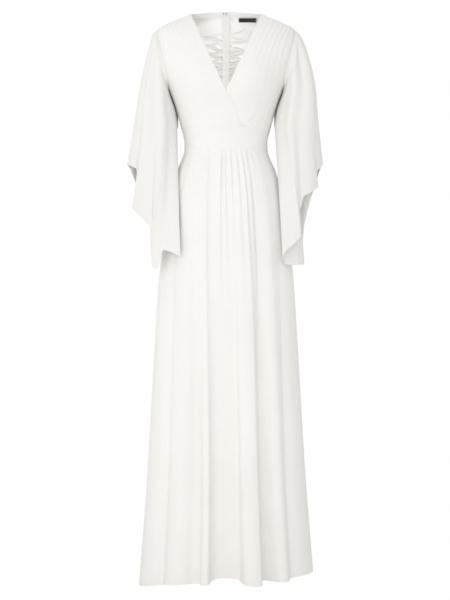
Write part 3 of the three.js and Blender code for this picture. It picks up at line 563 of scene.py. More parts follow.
# ---------------------------------------------------------------- curves and grids


def rows_of(columns, table):
    """Table as one array per named column."""
    return {name: np.array([row[k] for row in table], float) for k, name in enumerate(columns)}


def lerp(a, b, t):
    return a + (b - a) * t


def smooth(value, low, high):
    t = np.clip((value - low) / (high - low), 0, 1)
    return t * t * (3 - 2 * t)


def swell(x, middle, wide):
    """Smooth swelling, 1 at its middle."""
    return np.exp(-(((x - middle) / wide) ** 2))


def curve(keys, values):
    """Smooth curve through a table's values that never swings past them."""
    keys, values = np.asarray(keys, float), np.asarray(values, float)
    if keys[0] > keys[-1]:
        keys, values = keys[::-1], values[::-1]
    slope = np.diff(values) / np.diff(keys)
    turns = slope[:-1] * slope[1:] <= 0
    both = np.where(turns, 1, slope[:-1] + slope[1:])
    tangent = np.concatenate([slope[:1], np.where(turns, 0, 2 * slope[:-1] * slope[1:] / both), slope[-1:]])

    def at(key):
        key = np.asarray(key, float)
        i = np.clip(np.searchsorted(keys, key, side="right") - 1, 0, len(keys) - 2)
        span = keys[i + 1] - keys[i]
        t = (key - keys[i]) / span
        return (
            (2 * t**3 - 3 * t**2 + 1) * values[i]
            + (t**3 - 2 * t**2 + t) * span * tangent[i]
            + (3 * t**2 - 2 * t**3) * values[i + 1]
            + (t**3 - t**2) * span * tangent[i + 1]
        )

    return at


def ring_curve(values, period=0.0):
    """Smooth closed curve through values at 0, 1, 2 and so on. period is added at each full turn."""
    values = np.asarray(values, float)
    count = len(values)
    before, after = values[-3:] - period, values[:3] + period
    through = curve(np.arange(-3, count + 3), np.concatenate([before, values, after]))
    return lambda u: through(np.asarray(u, float))


def edge_crowded(count, length, fine=EDGE_STEPS):
    """Even steps from 0 to 1 over a length in mm, with closer ones beside both edges."""
    near = np.array(fine) / length
    even = np.linspace(0, 1, count)
    clear = near[-1] * EDGE_CLEARANCE
    even = even[(even > clear) & (even < 1 - clear)]
    return np.concatenate([near, even, (1 - near)[::-1]])


def steps_of(grid):
    """Steps across and up a piece, closer beside its edges."""
    return edge_crowded(grid["columns"], grid["wide"]), edge_crowded(grid["rows"], grid["long"])


form = rows_of(FORM_COLUMNS, FORM)
form_side = curve(form["z"], form["side"])
form_front = curve(form["z"], form["front"])
form_back = curve(form["z"], form["back"])
wrap_edge = curve([z for z, _ in WRAP_EDGE], [x for _, x in WRAP_EDGE])


def form_point(turn, z):
    """Point of the worn form. turn is 0 at the centre front, +-90 at the sides and 180 at the centre back."""
    turn, z = np.broadcast_arrays(np.radians(turn), np.asarray(z, float))
    sine, cosine = np.sin(turn), np.cos(turn)
    x = form_side(z) * sine
    depth = np.where(cosine > 0, form_front(z), form_back(z))
    full = BUST["full"] * swell(np.abs(x), BUST["x"], BUST["wide"]) * swell(z, BUST["z"], BUST["tall"])
    bust = np.where(cosine > 0, full, 0)
    return np.stack([x, -(depth + bust) * cosine * (1 + SQUARENESS * sine * sine), z], -1)


def unit(vectors):
    return vectors / np.maximum(np.linalg.norm(vectors, axis=-1, keepdims=True), 1e-9)


def form_normal(turn, z):
    around = form_point(turn + 0.5, z) - form_point(turn - 0.5, z)
    up = form_point(turn, z + 0.5) - form_point(turn, z - 0.5)
    return unit(np.cross(around, up))


def turn_at(x, z):
    return np.degrees(np.arcsin(np.clip(x / form_side(z), -1, 1)))


def grid_normals(points, around=False):
    """Normals of a grid of points, by its neighbours along the rows and the columns."""
    if around:
        across = np.roll(points, -1, axis=1) - np.roll(points, 1, axis=1)
    else:
        across = np.gradient(points, axis=1)
    return unit(np.cross(across, np.gradient(points, axis=0)))


# ---------------------------------------------------------------- meshes


def cloth_lengths(points, around):
    """Distance in metres along the middle row and the middle column, for the weave's own coordinates."""
    closed = np.concatenate([points, points[:, :1]], axis=1) if around else points
    along = np.linalg.norm(np.diff(closed[len(closed) // 2], axis=0), axis=-1)
    down = np.linalg.norm(np.diff(closed[:, closed.shape[1] // 2], axis=0), axis=-1)
    across = np.concatenate([[0], np.cumsum(along)]) * MM
    down = np.concatenate([[0], np.cumsum(down)]) * MM
    return np.stack(np.meshgrid(across, down), -1)


def shell(name, outer, inner, finish, around=False):
    """Closed thin wall of cloth between two grids of points in millimetres."""
    rows, columns = outer.shape[:2]
    number = np.arange(rows * columns).reshape(rows, columns)
    if around:
        number = np.concatenate([number, number[:, :1]], axis=1)
    weave = cloth_lengths(outer, around)
    width = number.shape[1]
    spot = np.arange(rows * width).reshape(rows, width)
    under = spot + rows * width
    quads = [
        (spot[:-1, :-1], spot[:-1, 1:], spot[1:, 1:], spot[1:, :-1]),
        (under[:-1, :-1], under[1:, :-1], under[1:, 1:], under[:-1, 1:]),
        (spot[0, 1:], spot[0, :-1], under[0, :-1], under[0, 1:]),
        (spot[-1, :-1], spot[-1, 1:], under[-1, 1:], under[-1, :-1]),
    ]
    if not around:
        quads.append((spot[:-1, 0], spot[1:, 0], under[1:, 0], under[:-1, 0]))
        quads.append((spot[1:, -1], spot[:-1, -1], under[:-1, -1], under[1:, -1]))
    faces = np.concatenate([np.stack(corners, -1).reshape(-1, 4) for corners in quads])
    point_of = np.concatenate([number.ravel(), number.ravel() + rows * columns])
    points = np.concatenate([outer.reshape(-1, 3), inner.reshape(-1, 3)]) * MM
    a, b, c, d = (points[point_of[faces[:, k]]] for k in range(4))
    filled = (a * (np.cross(b, c) + np.cross(c, d))).sum()
    if filled < 0:
        faces = faces[:, ::-1]
    mesh = bpy.data.meshes.new(name)
    mesh.from_pydata(points.tolist(), [], point_of[faces].tolist())
    layer = mesh.uv_layers.new(name="weave")
    weave = np.concatenate([weave.reshape(-1, 2)] * 2)
    layer.uv.foreach_set("vector", weave[faces.ravel()].astype(np.float32).ravel())
    mesh.shade_smooth()
    mesh.set_sharp_from_angle(angle=math.radians(62))
    mesh.materials.append(finish)
    piece = bpy.data.objects.new(name, mesh)
    bpy.context.scene.collection.objects.link(piece)
    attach(piece, "dress")
    return piece


# ---------------------------------------------------------------- finishes


def linear(code):
    """sRGB hex to linear colour."""
    channels = [int(code[k : k + 2], 16) / 255 for k in (1, 3, 5)]
    return (*[c / 12.92 if c <= 0.04045 else ((c + 0.055) / 1.055) ** 2.4 for c in channels], 1)


def add(tree, kind, settings=None, **inputs):
    """Adds a node with its settings, and links or values for its inputs, by name or as _ and a number."""
    node = tree.nodes.new(kind)
    for name, value in (settings or {}).items():
        setattr(node, name, value)
    for name, value in inputs.items():
        socket = node.inputs[int(name[1:])] if name[0] == "_" else node.inputs[name.replace("_", " ")]
        if isinstance(value, bpy.types.NodeSocket):
            tree.links.new(value, socket)
        else:
            socket.default_value = value
    return node


def finish_of(name):
    made = bpy.data.materials.new(name)
    made.use_nodes = True
    tree = made.node_tree
    tree.nodes.clear()
    output = add(tree, "ShaderNodeOutputMaterial")
    return made, tree, output


def woven(name, base, shade, thread, rough, sheen, specular, relief, grain):
    """Woven cloth: crossing threads at a spacing in mm, and broad uneven shades of its colour."""
    made, tree, output = finish_of(name)
    weave = add(tree, "ShaderNodeUVMap", {"uv_map": "weave"}).outputs[0]
    place = add(tree, "ShaderNodeTexCoord").outputs["Object"]
    pitch = 2 * math.pi / (20 * thread * MM)
    yarn = {"Vector": weave, "Scale": pitch, "Distortion": grain, "Detail": 1.0}
    warp = add(tree, "ShaderNodeTexWave", {"bands_direction": "X"}, **yarn)
    weft = add(tree, "ShaderNodeTexWave", {"bands_direction": "Y"}, **yarn)
    crossing = add(tree, "ShaderNodeMath", {"operation": "MULTIPLY"}, _0=warp.outputs[1], _1=weft.outputs[1])
    crepe = add(tree, "ShaderNodeTexNoise", None, Vector=place, Scale=1 / (4 * thread * MM), Detail=2.0)
    rise = add(tree, "ShaderNodeMath", {"operation": "ADD"}, _0=crossing.outputs[0], _1=crepe.outputs[0])
    bump = add(tree, "ShaderNodeBump", None, Strength=relief, Distance=thread * MM, Height=rise.outputs[0])
    broad = add(tree, "ShaderNodeTexNoise", None, Vector=place, Scale=SHADES_PER_METRE, Detail=3.0)
    even = add(tree, "ShaderNodeMapRange", None, _0=broad.outputs[0], _1=0.3, _2=0.7, _3=0.0, _4=1.0)
    shades = {"_6": linear(base), "_7": linear(shade)}
    tint = add(tree, "ShaderNodeMix", {"data_type": "RGBA"}, _0=even.outputs[0], **shades)
    spread = {"_3": rough - ROUGH_SPREAD, "_4": rough + ROUGH_SPREAD}
    rougher = add(tree, "ShaderNodeMapRange", None, _0=crepe.outputs[0], **spread)
    cloth = add(
        tree,
        "ShaderNodeBsdfPrincipled",
        None,
        Base_Color=tint.outputs[2],
        Roughness=rougher.outputs[0],
        Normal=bump.outputs[0],
        Specular_IOR_Level=specular,
        Sheen_Weight=sheen,
        Sheen_Roughness=0.5,
    )
    tree.links.new(cloth.outputs[0], output.inputs[0])
    return made


# Polyester crepe chiffon, plain woven from twisted yarn: matt, a little pebbled, a faint bloom at grazing
# angles. Its real threads lie 0.3 mm apart, drawn 0.9 mm apart so that the grain shows.
chiffon = woven("ivory_crepe_chiffon", "#ecebe7", "#eae8e4", 0.9, 0.86, 0.12, 0.28, 0.22, 0.6)
# The same chiffon in the single layer of the sleeves, a shade deeper: painted shade for the light that goes
# through the single layer instead of coming back from it.
sheer_painted_shade = woven("single_ivory_chiffon_painted_shade", "#e8e6e3", "#e6e4e0", 0.9, 0.86, 0.12, 0.28, 0.22, 0.6)
# Acetate satin, smooth on its face: glossier than the chiffon, with a soft highlight along each wrinkle. Its
# threads lie 0.1 mm apart, drawn 0.6 mm apart.
satin = woven("ivory_acetate_satin", "#e7e5e3", "#dfdcd9", 0.6, 0.24, 0.05, 0.8, 0.05, 0.2)
# Black polyester ribbon in a tight rib weave: dull, with faint cross ribs.
ribbon = woven("black_ribbon", "#141316", "#1b1a1d", 0.5, 0.62, 0.2, 0.4, 0.35, 0.1)


def plain(name, base, rough, metal, specular, speck, relief):
    """Moulded, spun or lacquered stuff, a little uneven. speck is the size in mm of its flecks."""
    made, tree, output = finish_of(name)
    place = add(tree, "ShaderNodeTexCoord").outputs["Object"]
    flecks = add(tree, "ShaderNodeTexNoise", None, Vector=place, Scale=1 / (speck * MM), Detail=3.0)
    bump = add(tree, "ShaderNodeBump", None, Strength=relief, Distance=0.05 * MM, Height=flecks.outputs[0])
    rougher = add(tree, "ShaderNodeMapRange", None, _0=flecks.outputs[0], _3=rough - 0.08, _4=rough + 0.1)
    coat = add(
        tree,
        "ShaderNodeBsdfPrincipled",
        None,
        Base_Color=linear(base),
        Roughness=rougher.outputs[0],
        Metallic=metal,
        Normal=bump.outputs[0],
        Specular_IOR_Level=specular,
    )
    tree.links.new(coat.outputs[0], output.inputs[0])
    return made


# Die-cast zinc under cream lacquer: smooth, with small even highlights and a faint orange-peel.
lacquer = plain("cream_zip_lacquer", "#e9e5dc", 0.32, 0.0, 0.6, 0.8, 0.3)
# Nylon monofilament coil: translucent when new, here a plain milky white with a soft gloss.
nylon = plain("nylon_zip_coil", "#e6e3db", 0.42, 0.0, 0.5, 0.5, 0.2)
# Spun polyester sewing thread, a shade deeper than the cloth so that each stitch reads.
thread = plain("ivory_sewing_thread", "#ded7ca", 0.75, 0.0, 0.3, 0.2, 0.4)
# Heavier taupe thread of the row that holds the zip tape down: dull, and dark enough to show as a row of
# dots. Its dark is partly the thread's own and partly painted shade for the shadow along the guard's edge.
taupe_thread_painted_shade = plain("taupe_sewing_thread_painted_shade", "#8f8371", 0.8, 0.0, 0.25, 0.2, 0.4)
# Blackened brass of the top stops: worn satin metal. Its near-black is partly the metal's own and partly
# painted shade for the shadow at the neck edge where the stops sit.
black_brass_painted_shade = plain("blackened_brass_painted_shade", "#23221f", 0.38, 1.0, 0.5, 0.4, 0.3)
# Black thread at the ends of the label.
black_thread = plain("black_sewing_thread", "#1d1c1f", 0.7, 0.0, 0.3, 0.2, 0.4)


# ---------------------------------------------------------------- bodice


def patch(edges, s, t):
    """Turn and z inside four edges that meet at their corners."""
    s, t = np.meshgrid(s, t)
    near, far, low, high = edges["left"](t), edges["right"](t), edges["bottom"](s), edges["top"](s)
    a, b = edges["bottom"](np.zeros_like(s)), edges["bottom"](np.ones_like(s))
    c, d = edges["top"](np.zeros_like(s)), edges["top"](np.ones_like(s))
    corners = [lerp(lerp(a[k], b[k], s), lerp(c[k], d[k], s), t) for k in (0, 1)]
    return tuple(lerp(near[k], far[k], s) + lerp(low[k], high[k], t) - corners[k] for k in (0, 1))


def armhole_edge(part, cut):
    """Armhole edge from the shoulder point at 0 to the armpit at 1."""
    middle, half = (SHOULDER_POINT_Z + ARMPIT_Z) / 2, (SHOULDER_POINT_Z - ARMPIT_Z) / 2
    return 90 - cut * np.sin(np.pi * part), middle + half * np.cos(np.pi * part)


def side_edge(t, armhole):
    """Side seam, then the armhole edge, upwards."""
    step = t * (SIDE_STEPS + armhole["steps"])
    turn, z = armhole_edge(1 - np.clip((step - SIDE_STEPS) / armhole["steps"], 0, 1), armhole["cut"])
    below = step <= SIDE_STEPS
    return np.where(below, 90, turn), np.where(below, lerp(MIDRIFF_TOP_Z, ARMPIT_Z, step / SIDE_STEPS), z)


def neck_z(t, top):
    step = t * (SIDE_STEPS + ARMHOLE_FRONT["steps"])
    share = np.clip((step - SIDE_STEPS) / ARMHOLE_FRONT["steps"], 0, 1)
    above = top + (ARMPIT_Z - top) * (1 - share) ** NECK_CROWDING
    return np.where(step <= SIDE_STEPS, lerp(MIDRIFF_TOP_Z, ARMPIT_Z, step / SIDE_STEPS), above)


def band_edge(t):
    z = neck_z(t, NECK_BAND_Z)
    return turn_at(wrap_edge(z) + NECK_BAND_WIDTH, z), z


BAND_START = float(turn_at(wrap_edge(MIDRIFF_TOP_Z) + NECK_BAND_WIDTH, MIDRIFF_TOP_Z))
FRONT_EDGES = {
    "left": band_edge,
    "right": lambda t: side_edge(t, ARMHOLE_FRONT),
    "bottom": lambda s: (lerp(BAND_START, 90, s**PLEAT_CROWDING), np.full_like(s, MIDRIFF_TOP_Z)),
    "top": lambda s: (np.full_like(s, 90), lerp(NECK_BAND_Z, SHOULDER_POINT_Z, s)),
}


def dive(side, own_x, z):
    """How far a point of the left front lies inside the form, where the right front wraps over it."""
    if side < 0:
        return np.zeros_like(own_x)
    return WRAP_DIVE["deep"] * (1 - smooth(own_x + wrap_edge(z), WRAP_DIVE["low"], WRAP_DIVE["high"]))


def on_form(side, turn, z, height, thick):
    """Outer and inner grid of a piece on the form, at a height over it, on the wearer's own side."""
    base, normal = form_point(turn, z), form_normal(turn, z)
    outer = base + normal * height[..., None]
    inner = outer - normal * thick
    own = np.array([side, 1, 1])
    return outer * own, inner * own


def seam_dip(s, t, grid, seam=SEAM, edges="lrbt"):
    """Depth of the groove beside the chosen edges of a piece: left, right, bottom and top."""
    s, t = np.meshgrid(s, t)
    wide, tall = grid["wide"], grid["long"]
    distances = {"l": s * wide, "r": (1 - s) * wide, "b": t * tall, "t": (1 - t) * tall}
    nearest = np.min([distances[edge] for edge in edges], axis=0)
    return -seam["deep"] * swell(nearest, 0, seam["reach"])


def folded_edge(distance):
    """Rounded fold along the free edge of a band, by the distance from it."""
    return -FOLD_EDGE["deep"] * swell(distance, 0, FOLD_EDGE["reach"])


def rolled_hem(above):
    """Narrow rolled hem and the groove of its stitches, by the height above the edge."""
    roll = HEM_ROLL["high"] * swell(above, HEM_ROLL["at"], HEM_ROLL["wide"])
    return roll - HEM_GROOVE["deep"] * swell(above, HEM_GROOVE["at"], HEM_GROOVE["wide"])


def flanked(x, before, after):
    """Soft ridge, 1 at its line, with its own width on each side."""
    return swell(x, 0, np.where(x < 0, before, after))


def pleat_rise(t, melt):
    crisp = lerp(PLEAT_FADE["foot"], 1, smooth(t, melt, PLEAT_FADE["crisp"]))
    return crisp * lerp(PLEAT_FADE["shoulder"], 1, smooth(1 - t, 0, PLEAT_FADE["shoulder_end"]))


def front(side, own):
    """Pleated front from the neck band to the armhole and the side seam."""
    s, t = steps_of(FRONT_GRID)
    turn, z = patch(FRONT_EDGES, s, t)
    across, up = np.meshgrid(s, t)
    sink = dive(side, form_side(z) * np.sin(np.radians(turn)), z)
    folds = np.zeros_like(across)
    for at, high, inner, outer in PLEATS[own]:
        sway = PLEAT_SWAY["wide"] * np.sin(PLEAT_SWAY["waves"] * up + PLEAT_SWAY["apart"] * at)
        folds += high * flanked(across - at - sway, inner, outer)
    folds *= pleat_rise(up, PLEAT_MELT[own])
    for at, high, wide, reach, lean in UNDERBUST[own]:
        ridge = flanked(across - (at + lean * up), wide, wide * UNDERBUST_FLANK)
        folds += high * ridge * (1 - smooth(up, reach * UNDERBUST_HOLD, reach))
    free = (1 - np.exp(-across / EDGE_FADE)) * (1 - np.exp(-(1 - across) / EDGE_FADE))
    free *= 1 - sink / WRAP_DIVE["deep"]
    height = folds * free - sink + seam_dip(s, t, FRONT_GRID, FRONT_SEAM, "lrt")
    outer, inner = on_form(side, turn, z, height, CHIFFON)
    return shell(f"chiffon_front_{own}", outer, inner, chiffon)


def neck_band(side, own):
    """Flat band folded along the neck edge."""
    s = np.linspace(0, 1, NECK_BAND_GRID["columns"])
    t = edge_crowded(NECK_BAND_GRID["rows"], NECK_BAND_GRID["long"])
    across, up = np.meshgrid(s, t)
    edge_z, seam_z = neck_z(up, 0), neck_z(up, NECK_BAND_Z)
    z = lerp(edge_z, seam_z, across)
    edge_turn = turn_at(wrap_edge(edge_z), edge_z)
    turn = lerp(edge_turn, turn_at(wrap_edge(seam_z) + NECK_BAND_WIDTH, seam_z), across)
    sink = dive(side, form_side(z) * np.sin(np.radians(turn)), z)
    waves = np.sin(BAND_SLACK["waves"] * up + BAND_SLACK["slant"] * across)
    slack = BAND_SLACK["high"] * waves * np.sin(np.pi * across)
    fold = folded_edge(across * NECK_BAND_WIDTH)
    height = fold + slack - sink + seam_dip(s, t, NECK_BAND_GRID, FRONT_SEAM, "rbt")
    outer, inner = on_form(side, turn, z, height, FOLDED_CHIFFON)
    return shell(f"chiffon_neck_band_{own}", outer, inner, chiffon)


def back_top(s):
    """Back neck edge, then the shoulder seam, outwards."""
    along = np.clip((s - BACK_CORNER) / (1 - BACK_CORNER), 0, 1)
    turn = np.where(s <= BACK_CORNER, lerp(180, 90, s / BACK_CORNER), 90)
    return turn, np.where(s <= BACK_CORNER, NECK_BAND_Z, lerp(NECK_BAND_Z, SHOULDER_POINT_Z, along))


def back_side(t):
    turn, z = side_edge(t, ARMHOLE_BACK)
    return 180 - turn, z


BACK_EDGES = {
    "left": lambda t: (np.full_like(t, 180), lerp(MIDRIFF_TOP_Z, NECK_BAND_Z, t)),
    "right": back_side,
    "bottom": lambda s: (lerp(180, 90, s), np.full_like(s, MIDRIFF_TOP_Z)),
    "top": back_top,
}


def back(side, own):
    """Plain back from the centre seam to the armhole, with a little slack."""
    s, t = steps_of(BACK_GRID)
    turn, z = patch(BACK_EDGES, s, t)
    across, up = np.meshgrid(s, t)
    slack = np.zeros_like(across)
    for at, height, high, wide, tall, lean in BACK_SLACK[own]:
        x = across - at - lean * (up - height) * SLACK_LEAN
        slack += high * swell(x, 0, wide) * swell(up, height, tall)
    slack *= np.sin(np.pi * np.clip(across, 0, 1)) ** 0.5
    outer, inner = on_form(side, turn, z, slack + seam_dip(s, t, BACK_GRID), CHIFFON)
    return shell(f"chiffon_back_{own}", outer, inner, chiffon)


def back_lining(side, own):
    """Satin lining of the back, pulled into short wrinkles across, most of them beside the zip."""
    s, t = steps_of(LINING_GRID)
    up = lerp(LINING_TRIM["bottom"], LINING_TRIM["top"], t)
    turn, z = patch(BACK_EDGES, s * LINING_TRIM["side"], up)
    x = form_side(z) * np.sin(np.radians(turn))
    folds = np.zeros_like(z)
    for level, middle, long, deep, wide, slope in WRINKLES[own]:
        sway = WRINKLE_SWAY["high"] * np.sin(x / WRINKLE_SWAY["long"] + level)
        off = z - level - slope * (x - middle) - sway
        folds += WRINKLE_DEPTH * deep * flanked(off, wide, wide * WRINKLE_FLANK) * swell(x, middle, long)
    folds *= smooth(x, WRINKLE_FREE["from"], WRINKLE_FREE["full"])
    stitch_x = TAPE_STITCH["x"]
    ridge = 1 - smooth(x, TAPE_RIDGE["to"], TAPE_RIDGE["fade"]) - swell(x, stitch_x, TAPE_STITCH["wide"])
    height = -(LINING_GAP + CHIFFON) - folds - TAPE_RIDGE["high"] * ridge
    outer, inner = on_form(side, turn, z, height, SATIN)
    seam = [[np.interp(stitch_x, side * row[:, 0], row[:, k]) for k in range(3)] for row in inner]
    seam = np.array(seam)[TAPE_STITCH["skip_low"] : -TAPE_STITCH["skip_high"]]
    return shell(f"satin_back_lining_{own}", outer, inner, satin), seam


def back_neck_band(side, own):
    """Folded band along the back neck edge, a little higher at the centre."""
    s = edge_crowded(BACK_BAND_GRID["columns"], BACK_BAND_GRID["wide"])
    t = np.linspace(0, 1, BACK_BAND_GRID["rows"])
    across, up = np.meshgrid(s, t)
    top = BACK_NECK_RISE * smooth(1 - across, 0, 1)
    z = lerp(NECK_BAND_Z, top, up)
    height = folded_edge((1 - up) * (top - NECK_BAND_Z)) + seam_dip(s, t, BACK_BAND_GRID, edges="lrb")
    outer, inner = on_form(side, lerp(180, 90, across), z, height, FOLDED_CHIFFON)
    return shell(f"chiffon_back_neck_band_{own}", outer, inner, chiffon)


# ---------------------------------------------------------------- midriff


def midriff(name, from_turn, to_turn, grid):
    """Close band round the ribs, with a rolled seam above and below and faint drag lines."""
    s = edge_crowded(grid["columns"], grid["wide"])
    t = edge_crowded(grid["rows"], grid["long"], MIDRIFF_STEPS)
    across, up = np.meshgrid(s, t)
    z = lerp(MIDRIFF_BOTTOM_Z, MIDRIFF_TOP_Z, up)
    turn = lerp(from_turn, to_turn, across)
    tall = MIDRIFF_TOP_Z - MIDRIFF_BOTTOM_Z
    from_middle = (turn - MIDRIFF_RIDGE["turn"]) / MIDRIFF_RIDGE["spread"]
    ridge = MIDRIFF_RIDGE["high"] + MIDRIFF_RIDGE["more"] * np.exp(-(from_middle**4))
    roll = ridge * swell((1 - up) * tall, MIDRIFF_RIDGE["at"], MIDRIFF_RIDGE["wide"])
    roll += MIDRIFF_FOOT["high"] * swell(up * tall, MIDRIFF_FOOT["at"], MIDRIFF_FOOT["wide"])
    waves = np.sin(MIDRIFF_DRAG["waves"] * turn + MIDRIFF_DRAG["slant"] * up)
    drag = MIDRIFF_DRAG["high"] * waves * np.sin(np.pi * up)
    height = roll + drag + seam_dip(s, t, grid, MIDRIFF_SEAM, "lrb")
    outer, inner = on_form(1, turn, z, height, CHIFFON)
    return shell(name, outer, inner, chiffon)


# ---------------------------------------------------------------- skirt


def skirt_x(waist, hem, fall, z):
    """x of a fold line at a share of the way from the midriff to the hem."""
    at_waist, at_hem = waist / form_side(MIDRIFF_BOTTOM_Z), hem / form_side(HEM_Z)
    return np.clip(lerp(at_hem, at_waist, (1 - fall) ** 2), -1, 1) * form_side(z)


def skirt_falls(length):
    """Rows of the skirt from the hem up, as shares of the way down, closer beside both edges."""
    waist, hem = np.array(WAIST_STEPS) / length, 1 - np.array(HEM_STEPS) / length
    gathered, hanging = np.linspace(*SKIRT_ROWS["gathered"]), np.linspace(*SKIRT_ROWS["hanging"])
    return np.unique(np.concatenate([waist, gathered, hanging, hem]))[::-1]


def crease_height(x, z, fall, crease):
    """One crease of the skirt, which spreads on its way down and fades at its ends."""
    waist, hem, high, before, after, start, end = crease
    spread = 1 + CREASE_SPREAD * fall
    ridge = flanked(x - skirt_x(waist, hem, fall, z), before * spread, after * spread)
    fade = 1 - smooth(fall, lerp(start, end, CREASE_FADE["hold"]), end) if end < 1 else 1
    full = start + CREASE_FADE["lower"] if start else CREASE_FADE["at_waist"]
    return high * ridge * smooth(fall, start, full) * fade


def skirt_panel(name, table, creases, columns, side, half):
    """Skirt panel through its fold lines, with its creases. half is +1 in front and -1 behind."""
    count = len(table["waist"])
    lines = np.arange(count)
    u = np.linspace(0, count - 1, columns)
    along = {key: curve(lines, values)(u) for key, values in table.items()}
    length = MIDRIFF_BOTTOM_Z - HEM_Z
    fall = skirt_falls(length)
    values = {key: np.broadcast_to(value, (len(fall), columns)) for key, value in along.items()}
    fall = fall[:, None]
    z = lerp(MIDRIFF_BOTTOM_Z, HEM_Z, fall) + np.zeros_like(values["waist"])
    x = skirt_x(values["waist"], values["hem"], fall, z)
    turn = turn_at(x, z) if half > 0 else 180 - turn_at(x, z)
    gathered = smooth(fall, 0, GATHERS["full"]) * (1 - smooth(fall, GATHERS["from"], GATHERS["to"]))
    stands = GATHER_SHARE * values["gather"] * gathered + values["out"] * fall**FOLD_GROWTH
    for crease in creases:
        stands = stands + crease_height(x, z, fall, crease)
    from_side = np.minimum(u, count - 1 - u) * (SKIRT_SEAM["half_width"] / count) * (1 + fall)
    stands = stands - WAIST_SEAM["deep"] * swell(fall * length, 0, WAIST_SEAM["reach"])
    stands = stands + rolled_hem((1 - fall) * length)
    stands = stands - SKIRT_SEAM["deep"] * swell(from_side, 0, SKIRT_SEAM["reach"])
    away = np.stack([np.sin(np.radians(turn)), -np.cos(np.radians(turn)), np.zeros_like(turn)], -1)
    outer = form_point(turn, z) + away * stands[..., None]
    outer[..., 2] -= values["drop"] * fall
    outer = outer * np.array([side, 1, 1])
    away = away * np.array([side, 1, 1])
    normal = grid_normals(outer)
    normal = normal * np.sign((normal * away).sum(-1, keepdims=True))
    return shell(name, outer, outer - normal * CHIFFON, chiffon), outer


# ---------------------------------------------------------------- sleeves

rings = rows_of(RING_COLUMNS, SLEEVE_RINGS)


def ring_points(side, k, around):
    """Points of one ring of the sleeve, by their turns round the arm."""
    ring = {key: values[k] for key, values in rings.items()}
    part = (1 + np.cos(np.radians(around))) / 2
    outer_x = ring["outer_x"] + (ring["fuller"] if side > 0 else 0)
    tucked = smooth(around, TUCK["from"], TUCK["round"]) * (1 - smooth(around, TUCK["round"], TUCK["to"]))
    return np.stack(
        [
            lerp(ring["inner_x"], outer_x, part) - ring["tuck"] * tucked,
            ring["middle_y"] + ring["lean"] * (1 - part) - ring["deep"] * np.sin(np.radians(around)),
            lerp(ring["inner_z"], ring["outer_z"], part),
        ],
        -1,
    )


def armhole_points(u):
    """Points of the armhole by fold line, down the front and up the back."""
    down, up = ARMHOLE_FRONT["steps"], ARMHOLE_BACK["steps"]
    in_front = u <= down
    part = np.where(in_front, u / down, 1 - (u - down) / up)
    ahead, ahead_z = armhole_edge(part, ARMHOLE_FRONT["cut"])
    behind, behind_z = armhole_edge(part, ARMHOLE_BACK["cut"])
    points = form_point(np.where(in_front, ahead, 180 - behind), np.where(in_front, ahead_z, behind_z))
    return points + np.array([SLEEVE_ROOT_GAP, 0, 0])


def sleeve_lines(knots, steps):
    """Centripetal curves down through rows of knots, one curve for each column."""
    gaps = np.sqrt(np.linalg.norm(np.diff(knots, axis=0), axis=-1))
    first, last = 2 * knots[0] - knots[1], 2 * knots[-1] - knots[-2]
    padded = np.concatenate([first[None], knots, last[None]])
    gaps = np.concatenate([gaps[:1], gaps, gaps[-1:]])
    out = []
    for position in steps:
        k = min(int(position), len(knots) - 2)
        t = position - k
        p0, p1, p2, p3 = padded[k : k + 4]
        d0, d1, d2 = (gaps[k + n][:, None] for n in range(3))
        m1 = ((p1 - p0) / d0 - (p2 - p0) / (d0 + d1) + (p2 - p1) / d1) * d1
        m2 = ((p2 - p1) / d1 - (p3 - p1) / (d1 + d2) + (p3 - p2) / d2) * d1
        c2 = -3 * p1 + 3 * p2 - 2 * m1 - m2
        c3 = 2 * p1 - 2 * p2 + m1 + m2
        out.append(p1 + m1 * t + c2 * t * t + c3 * t**3)
    return np.array(out)


def drape_folds(own, u, count, down):
    """Heights of the long soft folds of a sleeve, by fold line and share of the way down."""
    folds = np.zeros((len(down), len(u)))
    for top, middle, at_hem, high, wide, start, end in SLEEVE_DRAPES[own]:
        line = np.interp(down, [0, RING_SHARE, 1], [top, middle, at_hem])
        off = (u[None] - line + count / 2) % count - count / 2
        strength = smooth(down, start, start + DRAPE_FADE["start"])
        if end < 1:
            strength = strength * (1 - smooth(down, end - DRAPE_FADE["end"], end))
        folds += high * swell(off, 0, wide) * strength
    return folds


